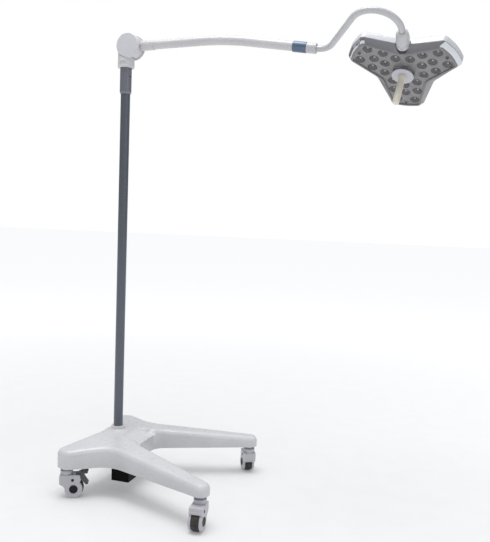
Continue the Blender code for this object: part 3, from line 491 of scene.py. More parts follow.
def combined(first, second, operation):
    """The Boolean of two bmeshes as a new bmesh."""
    objects = []
    for bm in (first, second):
        bmesh.ops.remove_doubles(bm, verts=bm.verts, dist=2e-6)
        bmesh.ops.recalc_face_normals(bm, faces=bm.faces)
        mesh = bpy.data.meshes.new("shape")
        bm.to_mesh(mesh)
        bm.free()
        obj = bpy.data.objects.new("shape", mesh)
        bpy.context.scene.collection.objects.link(obj)
        objects.append(obj)
    target, tool = objects
    modifier = target.modifiers.new("shape", "BOOLEAN")
    modifier.operation = operation
    modifier.solver = "EXACT"
    modifier.object = tool
    bpy.context.view_layer.update()
    result = bmesh.new()
    result.from_object(target, bpy.context.evaluated_depsgraph_get())
    for obj in objects:
        mesh = obj.data
        bpy.data.objects.remove(obj)
        bpy.data.meshes.remove(mesh)
    bmesh.ops.remove_doubles(result, verts=result.verts, dist=2e-6)
    return result


def without(first, *tools):
    for tool in tools:
        first = combined(first, tool, "DIFFERENCE")
    return first


def gathered(parts):
    """Several bmeshes as one."""
    whole = bmesh.new()
    for bm in parts:
        mesh = bpy.data.meshes.new("part")
        bm.to_mesh(mesh)
        bm.free()
        whole.from_mesh(mesh)
        bpy.data.meshes.remove(mesh)
    return whole


# ---------------------------------------------------------------- base

def base_corners():
    """Corners of the base in plan, counter-clockwise, with their rounding radii."""
    side = [(-0.062, -0.046, 0.055)]
    rear, front = (caster_frame(name).translation.to_2d() for name in ("rear_right", "front_right"))
    rear_way, front_way = Vector((-0.368, -0.930)), Vector((0.923, -0.385))
    for stem, way, half, reach in ((rear, rear_way, 0.034, 0.034), (front, front_way, 0.031, 0.033)):
        across = Vector((-way.y, way.x))
        for sign in (-1, 1):
            corner = stem + way * reach + across * half * sign
            side.append((corner.x, corner.y, half * 0.92))
        if stem is rear:
            side.append((0.064, -0.182, 0.110))
    side.append((0.132, -0.088, 0.060))
    return side + [(x, -y, r) for x, y, r in reversed(side)]


def softer_of(a, b, blend=0.0025):
    """The lower of two heights, with the crease between them rounded."""
    share = max(blend - abs(a - b), 0.0) / blend
    return min(a, b) - share * share * blend / 4


def cover_height(x, y, inset):
    """Top of the cover over a point of the plan that lies a given distance inside the outline."""
    crest = CREST_AT_POLE - CREST_FALL * math.hypot(x, y)
    crest -= SHOULDER_FALL * (1 - min(inset / SHOULDER_WIDTH, 1.0)) ** 3.4
    (x0, half0), (x1, half1) = PANEL_BACK, PANEL_FRONT
    along = (x - x0) / (x1 - x0)
    panel = PANEL_HEIGHTS[0] + (PANEL_HEIGHTS[1] - PANEL_HEIGHTS[0]) * along
    beside = abs(y) - (half0 + (half1 - half0) * along)
    outside = math.hypot(max(beside + 0.012, 0.0), max(x0 + 0.012 - x, 0.0)) - 0.012
    return softer_of(crest, panel + max(outside, 0.0) * PANEL_WALL_SLOPE)


def inside(point, outline):
    hit = False
    for k, a in enumerate(outline):
        b = outline[k - 1]
        if (a.y > point.y) != (b.y > point.y) and point.x < (b.x - a.x) * (point.y - a.y) / (b.y - a.y) + a.x:
            hit = not hit
    return hit


def cover():
    corners = base_corners()
    rings = [rounded(corners, d, 12, 18) for d in SHOULDER_RINGS]
    bm = bmesh.new()
    layers = [[bm.verts.new((p.x, p.y, COVER_BOTTOM)) for p in rounded(corners, 0.004, 12, 18)],
              [bm.verts.new((p.x, p.y, COVER_BOTTOM)) for p in rounded(corners, 0.0010, 12, 18)],
              [bm.verts.new((p.x, p.y, COVER_BOTTOM + 0.0010)) for p in rings[0]]]
    for distance, points in zip(SHOULDER_RINGS, rings):
        layers.append([bm.verts.new((p.x, p.y, cover_height(p.x, p.y, distance))) for p in points])
    for low, high in zip(layers, layers[1:]):
        for k in range(len(low)):
            n = (k + 1) % len(low)
            bm.faces.new((low[k], low[n], high[n], high[k]))
    rim = rings[-1]
    margin = [p for p in rounded(corners, SHOULDER_WIDTH + 0.0022, 12, 18)]
    spots = list(rim)
    steps = [TOP_GRID * k for k in range(-80, 130)]
    for x in steps:
        for y in steps:
            near = -0.02 < x < 0.15 and abs(y) < 0.12
            if not near and (round(x / TOP_GRID) % 2 or round(y / TOP_GRID) % 2):
                continue
            if abs(y) < 0.32 and -0.13 < x < 0.53 and inside(Vector((x, y)), margin):
                spots.append(Vector((x, y)))
    flat, _, faces, _, _, _ = delaunay_2d_cdt(spots, [], [list(range(len(rim)))], 1, 1e-6)
    top = [bm.verts.new((p.x, p.y, cover_height(p.x, p.y, SHOULDER_WIDTH))) for p in flat]
    for face in faces:
        bm.faces.new([top[k] for k in face])
    bmesh.ops.remove_doubles(bm, verts=bm.verts, dist=1e-5)
    return bm


def base():
    piece("cover", cover(), "base_cover", "base", ["base_cover"], sharp=50.0)
    crest = CREST_AT_POLE
    collar = [(0.0194, 0.1995), (0.0194, 0.2340), (0.0280, 0.2340), (0.0290, 0.2330), (0.0291, 0.2270)]
    collar += [(0.0291 + 0.0190 * (1 - math.cos(a)), 0.2270 - 0.0122 * math.sin(a))
               for a in (math.pi / 2 * k / 10 for k in range(1, 11))]
    collar += [(0.0470, crest - 0.0075), (0.0300, crest - 0.0120)]
    piece("collar", lathe(collar, 72, True), "collar", "base", ["pole_collar"])
    low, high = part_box("power_box")
    box = block(low, high)
    rear = low.x
    inlet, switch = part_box("mains_inlet"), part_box("power_switch")
    middle = (switch[0].y + switch[1].y) / 2
    room = 0.0003
    box = without(box,
                  block((rear - 0.01, inlet[0].y - room, inlet[0].z - room),
                        (rear + 0.016, inlet[1].y + room, inlet[1].z + room)),
                  block((rear - 0.01, middle - 0.0073, 0.0777), (rear + 0.012, middle + 0.0073, 0.0983)))
    piece("supply_box", box, "black_plastic", "base", ["power_box"], bevel=0.0025)


# ---------------------------------------------------------------- casters

def fork_outline():
    """Side view of a caster housing: (along the trail, height) points, counter-clockwise."""
    cheek_r = 0.0341
    outline = []
    for k in range(37):
        turn = math.radians(-185.0 + 235.0 * k / 36)
        outline.append((TRAIL.x + cheek_r * math.cos(turn), TRAIL.z + cheek_r * math.sin(turn)))
    outline += [(0.0560, 0.0685), (0.0569, 0.0705), (0.0569, 0.0775), (0.0552, 0.0795), (0.0552, 0.0880),
                (0.0535, 0.0918), (0.0505, 0.0930), (-0.0215, 0.0930), (-0.0247, 0.0916), (-0.0258, 0.0890),
                (-0.0258, 0.0620), (-0.0235, 0.0570), (-0.0110, 0.0490)]
    return outline


def fork(braked):
    upright = ABOUT_MINUS_Y
    body = moved(prism(fork_outline(), -0.025, 0.025), upright)
    slot = [(-0.0115, -0.01), (0.08, -0.01), (0.08, 0.0625)]
    slot += [(TRAIL.x + 0.041 * math.cos(math.radians(a)), TRAIL.z + 0.041 * math.sin(math.radians(a)))
             for a in range(37, 182, 6)]
    body = without(body, moved(prism(slot, -0.016, 0.016), upright))
    if braked:
        body = without(body, block((0.0365, -0.0160, 0.055), (0.08, 0.0160, 0.12)))
    return without(body, turned_solid([(0.0184, 0.0910), (0.0184, 0.15)], 0.0))


def pedal():
    """Side view of the brake pedal's two tabs, with a ribbed tread on the upper one."""
    outline = [(-0.007, -0.003), (-0.003, -0.008), (0.006, -0.006), (0.025, -0.033), (0.0285, -0.0365),
               (0.0325, -0.0378), (0.0365, -0.0362), (0.0388, -0.0330), (0.014, 0.002), (0.016, 0.004),
               (0.034, 0.007), (0.0368, 0.0092), (0.0372, 0.012), (0.0365, 0.0148), (0.034, 0.0166),
               (0.031, 0.0164), (0.030, 0.0156), (0.027, 0.0154), (0.026, 0.0162), (0.023, 0.0160),
               (0.022, 0.0150), (0.019, 0.0148), (0.018, 0.0152), (0.011, 0.0138), (0.000, 0.009),
               (-0.006, 0.005)]
    return moved(prism(outline, -0.0155, 0.0155), ABOUT_MINUS_Y)


def tyre_profile():
    half, radius, inner = 0.014, TRAIL.z, 0.0278
    crown = []
    for k in range(13):
        turn = math.pi * (k / 12 - 0.5)
        crown.append((radius - 0.0050 * (1 - math.cos(turn)) ** 1.5 - 0.0002, half * math.sin(turn) * 0.995))
    return [(inner, -half + 0.0015), *crown, (inner, half - 0.0015)]


def wheel_profile():
    """Moulded wheel: a hub boss, a dished web and a rim on each side."""
    half = [(0.0043, 0.0152), (0.0105, 0.0152), (0.0115, 0.0145), (0.0130, 0.0095), (0.0225, 0.0085),
            (0.0240, 0.0130), (0.0277, 0.0134)]
    return half + [(r, -z) for r, z in reversed(half)]


def caster(name):
    place = caster_frame(name)
    hub = place @ Matrix.Translation((TRAIL.x, 0.0, TRAIL.z)) @ ABOUT_Y
    body = "caster_" + name
    piece("housing_" + name, fork(name in BRAKED), "fork", body, ["caster_fork_" + name], place, bevel=0.0014)
    piece("housing_collar_" + name, ring(0.0184, 0.0240, 0.0925, 0.1100, 0.0022), "fork", body, place=place)
    piece("wheel_" + name, lathe(wheel_profile(), 64, True), "wheel_core", "wheel_" + name,
          ["caster_wheel_" + name], hub)
    piece("tread_" + name, lathe(tyre_profile(), 96, True), "tyre", "wheel_" + name,
          ["caster_tyre_" + name], hub, sharp=60.0)
    caps = [turned_solid([(0.0040, -0.025), (0.0040, 0.025)], 0.0, 24)]
    for way in (ABOUT_Y, ABOUT_MINUS_Y):
        disc = [(0.0, 0.0262), (0.0105, 0.0262), (0.0118, 0.0274), (0.0150, 0.0276), (0.0165, 0.0266),
                (0.0165, 0.0251), (0.0, 0.0251)]
        caps.append(moved(lathe(eased(disc, 0.0005), 48), ABOUT_Y.inverted() @ way))
        plug = turned_solid([(0.0058, 0.0248), (0.0058, 0.0256), (0.0048, 0.0261)], 0.0003, 32)
        caps.append(moved(plug, ABOUT_Y.inverted() @ Matrix.Translation((-0.004, 0.0, 0.0360)) @ way))
    piece("axle_" + name, gathered(caps), "axle_cap", body, ["caster_axle_" + name], hub)
    stem = [(0.006, 0.0815), (0.006, 0.1030), (0.0168, 0.1030), (0.0168, 0.1104), (0.0160, 0.1114),
            (0.0122, 0.1130), (0.0120, 0.1220), (0.0060, 0.1220), (0.0060, 0.1438), (0.0100, 0.1438),
            (0.0100, 0.1528)]
    piece("stem_" + name, turned_solid(stem, 0.0006, 48), "zinc", "base", ["caster_stem_" + name],
          Matrix.Translation(place.translation))
    if name in BRAKED:
        pivot = Vector(JOINTS[name + "_brake"]["pos_m"])
        shift = Matrix.Translation(pivot) @ place.to_3x3().to_4x4()
        piece("pedal_" + name, pedal(), "pedal", "pedal_" + name, ["brake_pedal_" + name], shift,
              bevel=0.0010)


# ---------------------------------------------------------------- pole and knuckle

def pole():
    low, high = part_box("pole_tube")
    piece("pole", ring(0.017, 0.019, low.z, high.z, 0.0005, 72), "pole", "base", ["pole_tube"])
    low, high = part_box("pole_sleeve")
    sleeve = [(0.0193, low.z), (0.0202, low.z), (0.0235, low.z + 0.009), (0.0235, high.z), (0.0193, high.z)]
    body = lathe(eased(sleeve, 0.0012, True), 72, True)
    way = Vector((0.97, -0.24, 0.0)).normalized()
    holes = []
    for height, radius in ((1.701, 0.0033), (1.6825, 0.0036)):
        across = axes((0.0, 0.0, height), (0.0, 0.0, -1.0), way)
        holes.append(moved(turned_solid([(radius, 0.015), (radius, 0.03)], 0.0, 24), across))
    # The sleeve takes a lighter copy of the pole paint for the light falling on it: painted light.
    piece("sleeve", without(body, *holes), "pole", "base", ["pole_sleeve"], finish="sleeve_painted_light")


def arch(side):
    """Flat with a rounded top, on one side of the stub."""
    shift = KNUCKLE.translation
    half, foot, spring = 0.0185, 1.712 - shift.z, 1.726 - shift.z
    outline = [(-half - shift.x, foot), (half - shift.x, foot)]
    outline += [(half * math.cos(math.pi * k / 24) - shift.x, spring + half * math.sin(math.pi * k / 24))
                for k in range(25)]
    low, high = (0.0283, 0.040) if side < 0 else (-0.040, -0.0283)
    return moved(prism(outline, low, high), ABOUT_MINUS_Y)


def yoke():
    """Stub on the pole with a drum of two cheeks and a back wall, open for the arm's hub."""
    shift = KNUCKLE.translation
    stub = moved(turned_solid([(0.0335, 1.719 - shift.z), (0.0335, -0.012)], 0.0012, 72),
                 Matrix.Translation((-shift.x, 0.0, 0.0)))
    for way in (ABOUT_Y, ABOUT_MINUS_Y):
        stub = without(stub, moved(turned_solid([(0.0503, 0.0255), (0.0503, 0.045)], 0.0, 90), way))
    body = combined(stub, moved(turned_solid([(0.0496, -0.026), (0.0496, 0.026)], 0.0, 84), ABOUT_Y), "UNION")
    radius, clear = 0.0478, 0.085
    first, last = math.radians(72.0), math.radians(270.0)
    turns = [first + (last - first) * k / 60 for k in range(61)]
    outline = [(radius * math.cos(t), radius * math.sin(t)) for t in turns]
    outline += [(clear, -radius), (clear, clear), (clear * math.cos(first), clear)]
    body = without(body, moved(prism(outline, -0.022, 0.022), ABOUT_MINUS_Y))
    bore = [(0.0238, 1.709 - shift.z), (0.0238, 1.7368 - shift.z), (0.0123, 1.7368 - shift.z),
            (0.0123, -0.027)]
    body = without(body, moved(turned_solid(bore, 0.0, 64), Matrix.Translation((-shift.x, 0.0, 0.0))))
    return without(body, arch(-1), arch(1))


def knuckle():
    piece("yoke", yoke(), "knuckle_paint", "knuckle", ["knuckle_yoke"], KNUCKLE, sharp=28.0, bevel=0.0007)
    for name, way in (("front", ABOUT_MINUS_Y), ("rear", ABOUT_Y)):
        cap = [(0.0, 0.0262), (0.0496, 0.0262), (0.0496, 0.0300), (0.0462, 0.0360), (0.0, 0.0360)]
        piece("cap_" + name, lathe(eased(cap, 0.0016), 96), "knuckle_cap", "knuckle",
              ["knuckle_cap_" + name], KNUCKLE @ way)


# ---------------------------------------------------------------- arm and neck

def arm_point(distance, steps=60):
    """Point and slope of the arm's centreline, a distance from the hinge."""
    point, slope = Vector((0.0, 0.0, 0.0)), ARM_SLOPES[0]
    for k in range(steps):
        middle = (k + 0.5) * distance / steps
        bent = min(max((middle - ARM_STRAIGHT) / ARM_BEND, 0.0), 1.0)
        slope = ARM_SLOPES[0] + (ARM_SLOPES[1] - ARM_SLOPES[0]) * bent
        point += Vector((math.cos(slope), 0.0, math.sin(slope))) * distance / steps
    return point, slope


def arm():
    root = axes(KNUCKLE.translation, (0.0, 1.0, 0.0), (math.cos(ARM_SLOPES[0]), 0.0, math.sin(ARM_SLOPES[0])))
    stations = [0.0505, ARM_STRAIGHT]
    stations += [ARM_STRAIGHT + ARM_BEND * k / 28 for k in range(1, 29)]
    stations += [0.6, RING_SPAN[0]]
    tube = sweep([KNUCKLE @ arm_point(s)[0] for s in stations], ARM_R, 56)
    piece("arm", tube, "arm_paint", "arm", ["arm_tube"], bevel=0.0006)
    collar = [(0.0182, 0.0508), (0.0190, 0.0508), (0.0202, 0.0522), (0.0202, 0.1035), (0.0194, 0.1050),
              (0.0182, 0.1050)]
    piece("collar_of_arm", lathe(eased(collar, 0.0006, True), 72, True), "arm_paint", "arm", ["arm_collar"],
          root)
    half = 0.0192
    hub = [(0.0083, -half), (0.0470, -half), (0.0470, half), (0.038, half), (0.038, -0.006), (0.018, -0.006),
           (0.018, half), (0.0083, half)]
    stalk = moved(turned_solid([(0.0160, 0.0425), (0.0160, 0.090)], 0.0, 48), KNUCKLE.inverted() @ root)
    body = combined(moved(lathe(hub, 96, True), ABOUT_Y), stalk, "UNION")
    piece("hub_of_arm", body, "arm_paint", "arm", ["arm_hub"], KNUCKLE, bevel=0.0006)
    along = axes(ARM_END, (0.0, 1.0, 0.0), JOINTS["neck_roll"]["axis"])
    low, high = (s - ARM_LENGTH for s in RING_SPAN)
    band = [(0.0124, low + 0.0003), (0.0205, low + 0.0003), (0.0205, high), (0.0124, high)]
    piece("blue_ring", lathe(eased(band, 0.0012, True), 72, True), "ring", "arm", ["joint_ring"], along)


def neck_path():
    """Centreline of the neck in its own plane: X along the arm's end, Z towards the first bend."""
    lead, radii, bends, straight, tail = 0.003, (0.0686, 0.0915), (60.0, 146.0), 0.1635, 0.016
    points = [Vector((-0.032, 0.0, 0.0)), Vector((0.0, 0.0, 0.0)), Vector((lead, 0.0, 0.0))]
    heading = 0.0

    def ahead(length):
        points.append(points[-1] + Vector((math.cos(heading), 0.0, math.sin(heading))) * length)

    for radius, bend, steps, sign in ((radii[0], bends[0], 18, 1), (radii[1], bends[1], 44, -1)):
        half = sign * math.radians(bend) / steps / 2
        for _ in range(steps):
            heading += half
            ahead(2 * radius * math.sin(abs(half)))
            heading += half
        if sign == 1:
            ahead(straight)
    ahead(tail)
    return points


def neck():
    piece("neck", sweep([NECK @ p for p in neck_path()], 0.0113, 48), "neck_paint", "neck", ["neck_tube"])
    low = RING_SPAN[1] - ARM_LENGTH + 0.0003
    sleeve = [(0.0118, low), (0.0195, low), (0.0195, -0.0015), (0.0180, 0.0), (0.0118, 0.0)]
    piece("sleeve_of_neck", lathe(eased(sleeve, 0.0009, True), 72, True), "neck_paint", "neck",
          ["end_sleeve"], NECK @ ABOUT_X)
    end = HUB_END - HUB_RING
    hub = [(0.0118, -0.0120), (0.0150, -0.0118), (0.0205, -0.0050), (0.0225, 0.0050), (0.0250, 0.0280),
           (0.0250, end), (0.0095, end), (0.0095, 0.0006), (0.0118, 0.0006)]
    piece("hub_of_neck", lathe(eased(hub, 0.0022, True), 72, True), "neck_paint", "neck", ["hub_sleeve"],
          NECK_END @ ABOUT_X)


# ---------------------------------------------------------------- lamp head

def star(shape, inset=0.0, steps=8, between=4):
    """Three-lobed outline with bowed lobe ends and rounded corners and valleys, moved in by a distance."""
    reach, half, between_lobes, tip_radius, valley_radius = shape
    corners = []
    for lobe in range(3):
        turn = math.tau * lobe / 3
        for along, across, radius in ((reach, -half, tip_radius), (reach + LOBE_BULGE, 0.0, 0.16),
                                      (reach, half, tip_radius)):
            corners.append((along * math.cos(turn) - across * math.sin(turn),
                            along * math.sin(turn) + across * math.cos(turn), radius))
        valley = turn + math.pi / 3
        corners.append((between_lobes * math.cos(valley), between_lobes * math.sin(valley), valley_radius))
    return rounded(corners, inset, steps, between)


def at_height(outline, z):
    return [(p.x, p.y, z) for p in outline]


def hub_recess():
    side = HUB_END - HEAD_CENTRE - HUB_RING
    return moved(turned_solid([(0.0262, -0.05), (0.0262, HUB_RING + 0.0006)], 0.0, 64),
                 Matrix.Translation((side, 0.0, 0.0)) @ ABOUT_X)


def housing():
    """Top shell with a soft bevel round a crowned top, and a lip at the seam."""
    rings = [at_height(star(HEAD_OUTLINE, 0.0030), SEAM_Z), at_height(star(HEAD_OUTLINE, 0.0006), SEAM_Z),
             at_height(star(HEAD_OUTLINE), SEAM_Z + 0.0006), at_height(star(HEAD_OUTLINE), 0.0150)]
    for inset, z in ((0.0006, 0.0182), (0.0020, 0.0208), (0.0045, 0.0235), (0.0085, 0.0256), (0.0150, 0.0275),
                     (0.0230, 0.0290), (0.0330, 0.0298), (0.0430, 0.0300)):
        rings.append(at_height(star(HEAD_OUTLINE, inset), z))
    shell = loft(rings, cap_low=False)
    inner = [at_height(star(HEAD_OUTLINE, 0.0030), SEAM_Z), at_height(star(HEAD_OUTLINE, 0.0030), 0.014),
             at_height(star(HEAD_OUTLINE, 0.0110), 0.022), at_height(star(HEAD_OUTLINE, 0.0430), 0.026)]
    lining = loft(inner, cap_low=False)
    return without(gathered([shell, lining]), hub_recess())


def bezel():
    """Sloping silver-grey frame round the lens cover."""
    frame_in = star(FACE_OUTLINE, BEZEL_FRAME)
    rings = [at_height(frame_in, FACE_Z)]
    for shape, inset, z in ((FACE_OUTLINE, 0.0012, FACE_Z), (FACE_OUTLINE, 0.0003, FACE_Z + 0.0004),
                            (FACE_OUTLINE, 0.0, FACE_Z + 0.0014), (HEAD_OUTLINE, 0.0014, SEAM_Z - 0.0046),
                            (HEAD_OUTLINE, 0.0006, SEAM_Z - 0.0036), (HEAD_OUTLINE, 0.0006, SEAM_Z - 0.0005)):
        rings.append(at_height(star(shape, inset), z))
    rings.append(at_height(frame_in, SEAM_Z - 0.0005))
    return without(loft(rings, closed=True), hub_recess())


def lobe_band(lobe):
    """Bright band that wraps the end of one lobe, over the sloping frame."""
    outlines = ((star(FACE_OUTLINE, -0.0004), FACE_Z + 0.0022), (star(HEAD_OUTLINE, 0.0002), SEAM_Z - 0.0030))
    turn = Matrix.Rotation(-math.tau * lobe / 3, 2)
    count = len(outlines[0][0])
    chosen = [k for k in range(count) if (turn @ outlines[1][0][k]).x > HEAD_OUTLINE[0] - 0.014]
    start = next(k for k in chosen if (k - 1) % count not in chosen)
    order = [(start + i) % count for i in range(len(chosen))]
    bm = bmesh.new()
    rows = []
    for step in range(7):
        t = step / 6
        swell = 0.0009 * math.sin(math.pi * t)
        row = []
        for k in order:
            low, high = outlines[0][0][k], outlines[1][0][k]
            point = low.lerp(high, t)
            out = point.normalized() * swell
            row.append(bm.verts.new((point.x + out.x, point.y + out.y,
                                     outlines[0][1] + (outlines[1][1] - outlines[0][1]) * t)))
        rows.append(row)
    for low, high in zip(rows, rows[1:]):
        for k in range(len(order) - 1):
            bm.faces.new((low[k], low[k + 1], high[k + 1], high[k]))
    return bm


def spots():
    for lobe in range(3):
        swing = Matrix.Rotation(math.tau * lobe / 3, 4, "Z")
        for along, across in LED_SPOTS:
            yield swing @ Matrix.Translation((along, across, 0.0))


def mask():
    """Grey mask behind the cover, with a round hole for each lens and for the well."""
    plate = prism(star(FACE_OUTLINE, BEZEL_FRAME + 0.0004), MASK_Z, MASK_Z + 0.0012)
    holes = [moved(turned_solid([(LENS_R, MASK_Z - 0.01), (LENS_R, MASK_Z + 0.01)], 0.0, 40), spot)
             for spot in spots()]
    holes.append(turned_solid([(WELL_R, MASK_Z - 0.01), (WELL_R, MASK_Z + 0.01)], 0.0, 72))
    return without(plate, gathered(holes))


def dish():
    """One fluted reflector cup with its rim at the mask."""
    bm = bmesh.new()
    flutes, steps = 18, 108
    rings = []
    for radius, height, wave in ((LENS_R + 0.0004, 0.0012, 0.0), (0.0176, 0.0010, 0.0), (0.0160, 0.0026, 0.5),
                                 (0.0132, 0.0052, 0.9), (0.0096, 0.0078, 0.9), (0.0056, 0.0094, 0.4)):
        row = []
        for k in range(steps):
            turn = math.tau * k / steps
            z = MASK_Z + height + 0.0010 * wave * abs(math.sin(flutes * turn / 2))
            row.append(bm.verts.new((radius * math.cos(turn), radius * math.sin(turn), z)))
        rings.append(row)
    for low, high in zip(rings, rings[1:]):
        for k in range(steps):
            n = (k + 1) % steps
            bm.faces.new((low[k], low[n], high[n], high[k]))
    bm.faces.new(rings[-1])
    return bm


def screw(radius=0.0042):
    """Pan-head screw seen from below, with a hexagonal socket."""
    head = turned_solid([(radius, -0.0004), (radius, 0.0010)], 0.0004, 32)
    socket = turned_solid([(radius * 0.5, -0.002), (radius * 0.5, 0.0004)], 0.0, 6)
    return without(head, socket)


def head():
    piece("top_shell", housing(), "housing", "head", ["head_housing"], HEAD, sharp=40.0)
    piece("frame_of_head", bezel(), "bezel", "head", ["head_bezel"], HEAD, sharp=40.0)
    for lobe, name in enumerate(("far", "left", "right")):
        piece("band_" + name, lobe_band(lobe), "bezel", "head", place=HEAD, finish="edge_chrome", sharp=60.0)
    seam = star(HEAD_OUTLINE, 0.0016)
    seam = loft([at_height(seam, SEAM_Z - 0.0005), at_height(seam, SEAM_Z)], False, False)
    piece("seam_gasket", seam, "black_plastic", "head", place=HEAD)
    plate = star(FACE_OUTLINE, BEZEL_FRAME + 0.0003)
    clear = loft([at_height(plate, FACE_Z + 0.0012), at_height(plate, FACE_Z + 0.0042)])
    well = turned_solid([(WELL_R, -0.1), (WELL_R, 0.1)], 0.0, 72)
    piece("clear_cover", without(clear, well), "lens_cover", "head", ["lens_cover"], HEAD)
    piece("mask_plate", mask(), "lens_plate", "head", ["lens_plate"], HEAD)
    piece("reflectors", gathered([moved(dish(), spot) for spot in spots()]), "lens_plate", "head", place=HEAD,
          finish="reflector", sharp=20.0)
    chips = [moved(turned_solid([(0.0034, MASK_Z + 0.0062), (0.0042, MASK_Z + 0.0092)], 0.0010, 24), spot)
             for spot in spots()]
    piece("led_chips", gathered(chips), "board", "head", place=HEAD, finish="led_phosphor")
    wall = [(WELL_R - 0.0004, FACE_Z + 0.0012), (WELL_R - 0.0004, -0.0115), (0.0145, -0.0115),
            (0.0145, -0.0108), (WELL_R + 0.0002, -0.0108), (WELL_R + 0.0002, FACE_Z + 0.0012)]
    piece("well", lathe(eased(wall, 0.0006, True), 72, True), "lens_plate", "head", place=HEAD)
    screws = []
    for lobe in range(3):
        for radius, turn in ((0.178, 0.0), (0.0945, math.pi / 3)):
            angle = math.tau * lobe / 3 + turn
            at = Matrix.Translation((radius * math.cos(angle), radius * math.sin(angle), FACE_Z + 0.0010))
            screws.append(moved(screw(0.0056 if turn == 0.0 else 0.0030), at))
    piece("cover_screws", gathered(screws), "steel", "head", place=HEAD, finish="dark_screw")
    side = Matrix.Translation((HUB_END - HEAD_CENTRE - HUB_RING, 0.0, 0.0)) @ ABOUT_X
    hub = [(0.0095, 0.0003), (0.0245, 0.0003), (0.0245, 0.0200), (0.0225, 0.0230), (0.0095, 0.0230)]
    turning = lathe(eased(hub, 0.0010, True), 72, True)
    groove = ring(0.0238, 0.0300, 0.0055, 0.0068, 0.0, 72)
    pin = moved(turned_solid([(0.0020, 0.015), (0.0020, 0.03)], 0.0, 20),
                axes((0.0, 0.0, 0.0125), (0.0, 0.0, -1.0), (1.0, 0.0, 0.0)))
    piece("turning_ring", without(turning, groove, pin), "hub_metal", "head", ["hub_ring"], HEAD @ side,
          finish="neck_paint")


def grip():
    disc_top = HANDLE_Z + 0.005
    column = [(0.0095, disc_top + 0.0003), (0.0140, disc_top + 0.0003), (0.0140, 0.0076), (0.0095, 0.0076)]
    piece("column", lathe(eased(column, 0.0006, True), 64, True), "column", "head", ["handle_column"], HEAD)
    disc = [(0.0095, HANDLE_Z), (0.0380, HANDLE_Z), (0.0400, HANDLE_Z + 0.002), (0.0390, disc_top),
            (0.0095, disc_top)]
    piece("guard_disc", lathe(eased(disc, 0.0014, True), 96, True), "disc", "head", ["handle_disc"], HEAD)
    foot, top = HANDLE_Z - HANDLE_LENGTH, HANDLE_Z - 0.0003
    outer = [(0.0, foot + 0.0004), (0.0070, foot), (0.0105, foot + 0.0010), (0.0120, foot + 0.0040),
             (0.0128, foot + 0.0200), (0.0126, foot + 0.0480)]
    outer += [(0.0122, top - 0.0220), (0.0135, top - 0.0160), (0.0150, top - 0.0120), (0.0155, top - 0.0050),
              (0.0155, top - 0.0020), (0.0145, top), (0.0098, top), (0.0098, foot + 0.0090),
              (0.0, foot + 0.0090)]
    piece("grip", lathe(eased(outer, 0.0012), 72), "handle", "handle", ["sterile_handle"], HEAD)


# ---------------------------------------------------------------- stage

def area_light(name, place, target, size, power):
    light = bpy.data.lights.new(name, "AREA")
    light.shape = "RECTANGLE"
    light.size, light.size_y = size
    light.energy = power
    obj = bpy.data.objects.new(name, light)
    obj.location = place
    obj.rotation_mode = "QUATERNION"
    obj.rotation_quaternion = (Vector(target) - Vector(place)).to_track_quat("-Z", "Y")
    bpy.context.scene.collection.objects.link(obj)


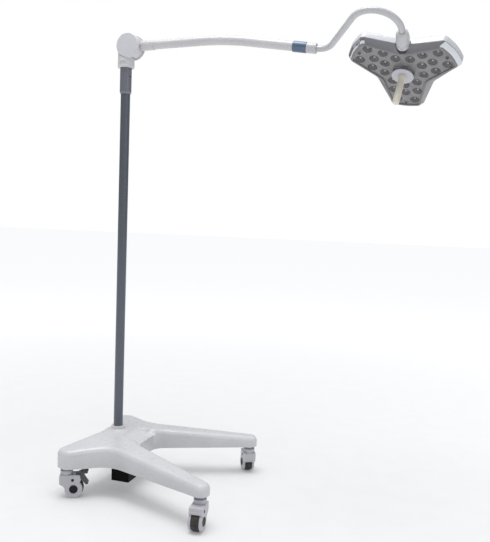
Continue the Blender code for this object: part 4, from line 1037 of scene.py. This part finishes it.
def sky():
    """A white tent: bright overhead, dimmer towards the floor, and plain white behind the object."""
    world = bpy.data.worlds.new("tent")
    world.use_nodes = True
    tree = world.node_tree
    tree.nodes.clear()
    place = tree.nodes.new("ShaderNodeTexCoord")
    split = tree.nodes.new("ShaderNodeSeparateXYZ")
    ramp = tree.nodes.new("ShaderNodeValToRGB")
    tent = tree.nodes.new("ShaderNodeBackground")
    plain = tree.nodes.new("ShaderNodeBackground")
    path = tree.nodes.new("ShaderNodeLightPath")
    mix = tree.nodes.new("ShaderNodeMixShader")
    out = tree.nodes.new("ShaderNodeOutputWorld")
    steps = ramp.color_ramp.elements
    steps[0].position, steps[0].color = 0.0, (0.15, 0.155, 0.165, 1.0)
    steps[1].position, steps[1].color = 1.0, (1.00, 1.01, 1.04, 1.0)
    plain.inputs["Color"].default_value = (1.0, 1.0, 1.0, 1.0)
    tree.links.new(place.outputs["Generated"], split.inputs["Vector"])
    tree.links.new(split.outputs["Z"], ramp.inputs["Fac"])
    tree.links.new(ramp.outputs["Color"], tent.inputs["Color"])
    tree.links.new(path.outputs["Is Camera Ray"], mix.inputs["Fac"])
    tree.links.new(tent.outputs["Background"], mix.inputs[1])
    tree.links.new(plain.outputs["Background"], mix.inputs[2])
    tree.links.new(mix.outputs["Shader"], out.inputs["Surface"])
    bpy.context.scene.world = world


def studio():
    bm = bmesh.new()
    bmesh.ops.create_grid(bm, x_segments=2, y_segments=2, size=40.0)
    mesh = bpy.data.meshes.new("floor")
    bm.to_mesh(mesh)
    bm.free()
    graph = surface("floor_paper", (0.66, 0.66, 0.66), 0.85, depth=0.02, vary=0.01)
    # The floor glows, weakly near the object and more strongly further off: painted light, which fades the far
    # floor into the white behind.
    graph.set(Emission_Color=(1.0, 1.0, 1.0, 1.0))
    away = graph.add("ShaderNodeVectorMath", operation="LENGTH")
    graph.link(graph.place, away.inputs[0])
    glow = graph.add("ShaderNodeMapRange")
    glow.inputs["From Min"].default_value = 0.8
    glow.inputs["From Max"].default_value = 4.5
    glow.inputs["To Min"].default_value = 0.17
    glow.inputs["To Max"].default_value = 0.48
    graph.link(away.outputs["Value"], glow.inputs["Value"])
    graph.link(glow.outputs["Result"], graph.shader.inputs["Emission Strength"])
    mesh.materials.append(graph.material)
    floor = bpy.data.objects.new("floor", mesh)
    bpy.context.scene.collection.objects.link(floor)
    sky()
    area_light("key", (0.2, -0.4, 4.8), (0.35, 0.0, 0.5), (2.6, 2.2), 105.0)
    area_light("fill", (3.4, -1.6, 2.4), (0.5, 0.0, 1.2), (1.4, 2.0), 5.0)
    bpy.context.scene.view_settings.view_transform = "Standard"


def camera():
    """The photograph's place and lens, with its slight roll."""
    data = bpy.data.cameras.new("camera")
    data.lens = 44.90
    data.sensor_width = 36.0
    data.clip_end = 200.0
    obj = bpy.data.objects.new("camera", data)
    right, up = Vector((0.9515, 0.3056, 0.0357)), Vector((-0.0565, 0.0597, 0.9966))
    obj.matrix_world = axes((1.343, -2.523, 1.116), right, right.cross(up))
    bpy.context.scene.collection.objects.link(obj)
    bpy.context.scene.camera = obj


def carried_over():
    """Give every CAD node its slot's material."""
    for name, node in frame["nodes"].items():
        node.data.materials.clear()
        node.data.materials.append(look(SLOTS[name]))


carried_over()
base()
for caster_name in CASTERS:
    caster(caster_name)
pole()
knuckle()
arm()
neck()
head()
grip()
studio()
camera()
